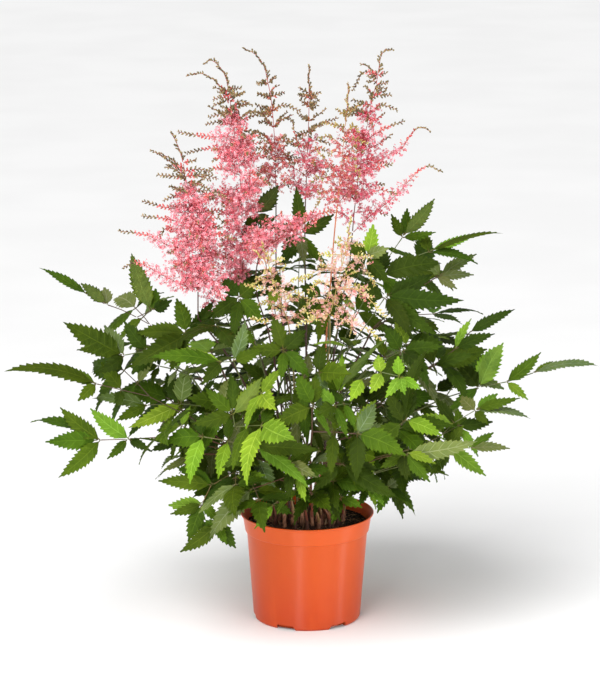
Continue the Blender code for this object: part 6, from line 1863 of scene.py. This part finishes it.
for i in range(330):
    r = math.sqrt(soil_rng.random()) * (R_TOP - 0.006)
    a = soil_rng.uniform(0, 6.283)
    h = soil_rng.uniform(0, 6.283)
    L = soil_rng.uniform(0.004, 0.016)
    bend = soil_rng.uniform(-1.1, 1.1)
    pts = []
    x, y = r * math.cos(a), r * math.sin(a)
    for j in range(5):
        if math.hypot(x, y) > R_TOP - 0.0015:
            break
        pts.append((x, y, ground(x, y) + 0.0006 + 0.0016 * math.sin(j / 4 * math.pi) * soil_rng.random()))
        x += math.cos(h) * L / 4
        y += math.sin(h) * L / 4
        h += bend / 4
    if len(pts) < 3:
        continue
    c = soil_rng.choice([(0.30, 0.20, 0.11), (0.20, 0.12, 0.07), (0.42, 0.31, 0.19), (0.10, 0.06, 0.035)])
    tube(peat, np.array(pts), soil_rng.uniform(0.00018, 0.00042), 4, np.array(c), 0)

m, t, b = nodes_of("potting_soil")
tint = node(t, "ShaderNodeAttribute", attribute_name="tint").outputs["Color"]
obj = node(t, "ShaderNodeTexCoord").outputs["Object"]
g1 = noise_at(t, obj, 520.0, 4.0, 0.65)
g2 = noise_at(t, obj, 110.0, 3.0)
base = mix(t, smooth(t, g1, 0.36, 0.66), mix(t, 1.0, tint, (0.45, 0.42, 0.42), "MULTIPLY"), mix(t, 1.0, tint, (1.7, 1.6, 1.5), "MULTIPLY"))
base = mix(t, mathn(t, "MULTIPLY", smooth(t, g2, 0.5, 0.75), 0.5), base, mix(t, 1.0, tint, (0.6, 0.55, 0.55), "MULTIPLY"))
link(t, base, b.inputs["Base Color"])
link(t, mathn(t, "ADD", mathn(t, "MULTIPLY", g1, 0.35), 0.55), b.inputs["Roughness"])
b.inputs["Specular IOR Level"].default_value = 0.35
bump(t, b, g1, 0.9, 0.0009)
soil_piece = peat.make("soil_peat", [m], sharp=40)
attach(soil_piece, "root")
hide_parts("soil")

# -------------------------------------------------------------------- crown
feet = give_footings()
crown = Mesh()
cverts, cfaces = [(0, 0, SOIL_Z + CLEAR + CROWN_H)], []
cr, cs = 22, 72
for i in range(1, cr + 1):
    th = i / cr * math.pi / 2
    for j in range(cs):
        a = j / cs * 2 * math.pi
        r = CROWN_R * 0.985 * math.sin(th)
        x, y = r * math.cos(a), r * math.sin(a)
        zc = SOIL_Z + CLEAR + (CROWN_H - 0.0006) * math.cos(th)
        lump = 0.0016 * mnoise.noise(Vector((x * 95, y * 95, 2.0))) + 0.0011 * mnoise.noise(Vector((x * 240, y * 240, 7.0)))
        edge = 1 + 0.10 * mnoise.noise(Vector((math.cos(a) * 2.4, math.sin(a) * 2.4, 5.0))) * math.sin(th) ** 3
        cverts.append((x * edge, y * edge, max(SOIL_Z + 0.0002, zc + lump * math.cos(th) ** 0.5 - 0.0004)))
for j in range(cs):
    k = (j + 1) % cs
    cfaces.append((0, 1 + j, 1 + k))
cq = []
for i in range(cr - 1):
    for j in range(cs):
        k = (j + 1) % cs
        cq.append((1 + i * cs + j, 1 + (i + 1) * cs + j, 1 + (i + 1) * cs + k, 1 + i * cs + k))
cverts.append((0, 0, SOIL_Z - 0.002))
for j in range(cs):
    k = (j + 1) % cs
    cfaces.append((1 + (cr - 1) * cs + j, len(cverts) - 1, 1 + (cr - 1) * cs + k))
crown.add(cverts, [(cq, 0), (cfaces, 0)], np.array((0.060, 0.026, 0.017)))
crng = random.Random("crown")
for name, foot in sorted(feet.items()):
    # a papery sheath hugs the foot of each stalk
    tall = crng.uniform(0.008, 0.019)
    lean = Vector((crng.uniform(-0.0008, 0.0008), crng.uniform(-0.0008, 0.0008), 0))
    pts = [foot + Vector((0, 0, -0.002)), foot + Vector((0, 0, tall * 0.35)), foot + lean + Vector((0, 0, tall * 0.75)), foot + lean + Vector((0, 0, tall))]
    c = np.array([p[:] for p in pts])
    c = curve_through([Vector(p) for p in c], 0.003)
    f = np.linspace(0, 1, len(c))
    rad = 0.0031 - 0.0011 * f + 0.0003 * np.sin(f * 7 + crng.random() * 6)
    hue = crng.choice([(0.16, 0.060, 0.036), (0.24, 0.105, 0.060), (0.095, 0.040, 0.026), (0.34, 0.17, 0.10)])
    tube(crown, c, rad, 9, np.array(hue), 0)
for i in range(110):
    # scales and short dead stubs between the stalks
    r = CROWN_R * math.sqrt(crng.random()) * 0.95
    a = crng.uniform(0, 6.283)
    x, y = r * math.cos(a), r * math.sin(a)
    z0 = SOIL_Z + CLEAR + CROWN_H * math.sqrt(max(0.0, 1 - (r / CROWN_R) ** 2)) - 0.0015
    h = crng.uniform(0.003, 0.009)
    lean = Vector((crng.uniform(-1, 1), crng.uniform(-1, 1), 0)) * h * 0.45 + Vector((x, y, 0)) * 0.06
    c = np.array([(x, y, z0), (Vector((x, y, z0 + h * 0.5)) + lean * 0.35)[:], (Vector((x, y, z0 + h)) + lean)[:]])
    w = crng.uniform(0.0008, 0.0022)
    hue = crng.choice([(0.10, 0.045, 0.028), (0.05, 0.024, 0.016), (0.30, 0.19, 0.11), (0.18, 0.07, 0.04), (0.36, 0.26, 0.16)])
    tube(crown, c, np.array([w, w * 0.8, w * 0.25]), 6, np.array(hue), 0)
m, t, b = nodes_of("crown_bark")
tint = node(t, "ShaderNodeAttribute", attribute_name="tint").outputs["Color"]
obj = node(t, "ShaderNodeTexCoord").outputs["Object"]
g1 = noise_at(t, obj, 340.0, 4.0, 0.65, (1.0, 1.0, 0.30))
g2 = noise_at(t, obj, 90.0, 3.0)
base = mix(t, smooth(t, g1, 0.34, 0.68), mix(t, 1.0, tint, (0.5, 0.45, 0.45), "MULTIPLY"), mix(t, 1.0, tint, (1.6, 1.5, 1.4), "MULTIPLY"))
base = mix(t, mathn(t, "MULTIPLY", smooth(t, g2, 0.48, 0.72), 0.5), base, (0.14, 0.052, 0.028))
link(t, base, b.inputs["Base Color"])
link(t, mathn(t, "ADD", mathn(t, "MULTIPLY", g2, 0.25), 0.60), b.inputs["Roughness"])
bump(t, b, g1, 0.8, 0.0008)
crown_piece = crown.make("crown_scales", [m], sharp=45)
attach(crown_piece, "root")
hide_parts("crown")

LEAF_TOP = leaf_material("leaf_upper", False)
LEAF_LOW = leaf_material("leaf_under", True)
STALK = stalk_material("stalk")
FLORET = floret_material("floret")

# ------------------------------------------------------------------- leaves
total = 0
for name, rib in arrange():
    error = off_by(name, rib)
    if error > 0.0022:
        print("MISMATCH", name, round(error * 1000, 2))
    rng = random.Random("look/" + name)
    np_rng = np.random.default_rng([ord(ch) for ch in name])
    if name.startswith("leaf"):
        mesh = Mesh()
        red = rng.random()
        foot_tint = np.array((0.20, 0.06, 0.035)) if red < 0.45 else (np.array((0.26, 0.14, 0.05)) if red < 0.75 else np.array((0.19, 0.21, 0.06)))
        end_tint = np.array((0.10, 0.14, 0.035)) if red > 0.3 else np.array((0.085, 0.045, 0.022))
        z0, z1 = rib.co[0].z, max(p.z for p in rib.co)
        for line, radii in rib.stalks:
            c = curve_through(line, 0.0080)
            f = np.linspace(0, 1, len(c))
            r = np.interp(f, np.linspace(0, 1, len(radii)), radii) * 0.92
            if len(c) > 4:
                r = r * (1 + 0.30 * np.exp(-((f - 1.0) / 0.05) ** 2))
            if line is rib.stalks[0][0]:
                r = r * (1 + 0.75 * np.exp(-(c[:, 2] - z0) / 0.012))
            h = np.clip((c[:, 2] - z0) / 0.16, 0, 1)[:, None]
            tube(mesh, c, r, 6, foot_tint * (1 - h) + end_tint * h, 2)
        for base, tip, s, up, width, tone in rib.blades:
            leaflet(mesh, base, tip, s, up, width, tone, rng)
        o = mesh.make(name + "_foliage", [LEAF_TOP, LEAF_LOW, STALK], sharp=60)
    else:
        kind = [p[4] for p in PLUMES if p[0] == name][0]
        mesh = Mesh()
        bloom = Bloom()
        dress = DRESS[name]
        low = np.array((0.070, 0.030, 0.020)) if kind != 2 else np.array((0.20, 0.17, 0.05))
        high = np.array((0.42, 0.062, 0.060)) if kind != 2 else np.array((0.50, 0.40, 0.12))
        if name == "plume_04":
            low, high = np.array((0.62, 0.17, 0.05)), np.array((0.55, 0.26, 0.08))
        zf, zt = rib.spikes[0][0][0].z, max(p.z for p in rib.co)
        for spike in rib.spikes:
            zf = min(zf, spike[0][0].z)
        for line, radii in rib.stalks:
            c = curve_through(line, 0.008)
            f = np.linspace(0, 1, len(c))
            r = np.interp(f, np.linspace(0, 1, len(radii)), radii) * 0.78
            h = np.clip((c[:, 2] - zf + 0.02) / max(0.04, (zt - zf) * 0.5), 0, 1)[:, None]
            tube(mesh, c, r, 6, low * (1 - h) + high * h, 0)
        spikes = [(line, state) for line, width, state in rib.spikes]
        top = max(range(len(spikes)), key=lambda i: spikes[i][0][-1].z)
        marks = {0: [], 1: [], 2: []}
        for i, (line, state) in enumerate(spikes):
            if i != top:
                marks[state].append(line[0].z)

        def height_of(z, state):
            m = marks[state]
            return float(np.clip((z - min(m)) / max(1e-4, max(m) - min(m)), 0, 1)) if m else 0.5

        for i, (line, state) in enumerate(spikes):
            side_branch(mesh, bloom, line, state, dress, np_rng, i == top, height_of(line[0].z, state))
        # more side branches between the drawn ones, all round the stem
        rest = sorted([q for i, q in enumerate(spikes) if i != top], key=lambda q: q[0][0].z)
        for (la, ba), (lb, bb) in zip(rest, rest[1:]):
            for q in range(dress[4]):
                f = rng.random()
                base = la[0].lerp(lb[0], f)
                va, vb = la[-1] - la[0], lb[-1] - lb[0]
                L = min(0.042, (va.length * (1 - f) + vb.length * f)) * rng.uniform(0.60, 1.00)
                if L < 0.006:
                    continue
                a = rng.uniform(0, 6.283)
                el = rng.uniform(-0.1, 0.75)
                d = Vector((math.cos(a) * math.cos(el), math.sin(a) * math.cos(el), math.sin(el)))
                line = [base, base + d * L * 0.5 + Vector((0, 0, L * 0.05)), base + d * L - Vector((0, 0, L * 0.10))]
                state = min(ba, bb) if rng.random() < 0.5 else max(ba, bb)
                side_branch(mesh, bloom, line, state, dress, np_rng, False, height_of(base.z, state))
        bloom.set_on(mesh, np_rng)
        o = mesh.make(name + "_blossom", [STALK, FLORET], smooth=True, sharp=35)
    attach(o, "root")
    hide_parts(name)
    total += mesh.tris
    print("PIECE", o.name, mesh.tris)
print("TRIANGLES of the plant", total)

# ------------------------------------------------------------------- studio
scene = bpy.context.scene
me = bpy.data.meshes.new("studio_floor")
me.from_pydata([(-20, -20, 0), (20, -20, 0), (20, 20, 0), (-20, 20, 0)], [], [(0, 1, 2, 3)])
floor = bpy.data.objects.new("studio_floor", me)
scene.collection.objects.link(floor)
m, t, b = nodes_of("studio_floor")
obj = node(t, "ShaderNodeTexCoord").outputs["Object"]
soft = noise_at(t, obj, 3.0, 2.0)
link(t, mix(t, smooth(t, soft, 0.3, 0.7), (0.90, 0.90, 0.90), (0.93, 0.93, 0.93)), b.inputs["Base Color"])
b.inputs["Roughness"].default_value = 0.9
b.inputs["Specular IOR Level"].default_value = 0.1
me.materials.append(m)
floor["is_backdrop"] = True

world = bpy.data.worlds.new("studio")
scene.world = world
world.use_nodes = True
bg = world.node_tree.nodes["Background"]
bg.inputs["Color"].default_value = (1.0, 1.0, 1.0, 1.0)
bg.inputs["Strength"].default_value = WORLD


def softbox(name, azimuth, elevation, dist, wide, tall, power, aim=(0, 0, 0.35), colour=(1, 1, 1)):
    az, el = math.radians(azimuth), math.radians(elevation)
    target = Vector(aim)
    pos = target + Vector((math.sin(az) * math.cos(el), -math.cos(az) * math.cos(el), math.sin(el))) * dist
    light = bpy.data.lights.new(name, "AREA")
    light.shape = "RECTANGLE"
    light.size = wide
    light.size_y = tall
    light.energy = power
    light.color = colour
    o = bpy.data.objects.new(name, light)
    scene.collection.objects.link(o)
    o.location = pos
    o.rotation_euler = (target - pos).to_track_quat("-Z", "Y").to_euler()
    return o


sun = bpy.data.lights.new("sky_panel", "SUN")
sun.energy = SUN
sun.angle = math.radians(46)
o = bpy.data.objects.new("sky_panel", sun)
scene.collection.objects.link(o)
o.location = (-1.5, -2.0, 3.0)
o.rotation_euler = (Vector((0, 0, 0)) - Vector((-1.15, -1.75, 2.6))).to_track_quat("-Z", "Y").to_euler()
softbox("key_softbox", -34, 42, 2.6, 1.3, 1.3, KEY)
softbox("fill_softbox", 40, 14, 3.0, 1.6, 1.0, FILL)
softbox("top_softbox", 10, 80, 2.6, 1.8, 1.8, TOP)
softbox("strip_left", -14, 4, 0.95, 0.10, 0.26, STRIP_L, aim=(0, 0, 0.07))
softbox("strip_right", 70, 4, 0.95, 0.08, 0.26, STRIP_R, aim=(0, 0, 0.07))

cam = bpy.data.cameras.new("front_view")
cam.lens = 167.72
cam.sensor_width = 36.0
cam.sensor_fit = "AUTO"
cam.clip_end = 100.0
camera = bpy.data.objects.new("front_view", cam)
scene.collection.objects.link(camera)
camera.location = EYE
camera.rotation_euler = (math.radians(90) - TILT, 0, 0)
scene.camera = camera
scene.view_settings.view_transform = "Standard"
scene.view_settings.look = "None"
scene.view_settings.exposure = EXPOSURE
scene.view_settings.gamma = 1.0

low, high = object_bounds()
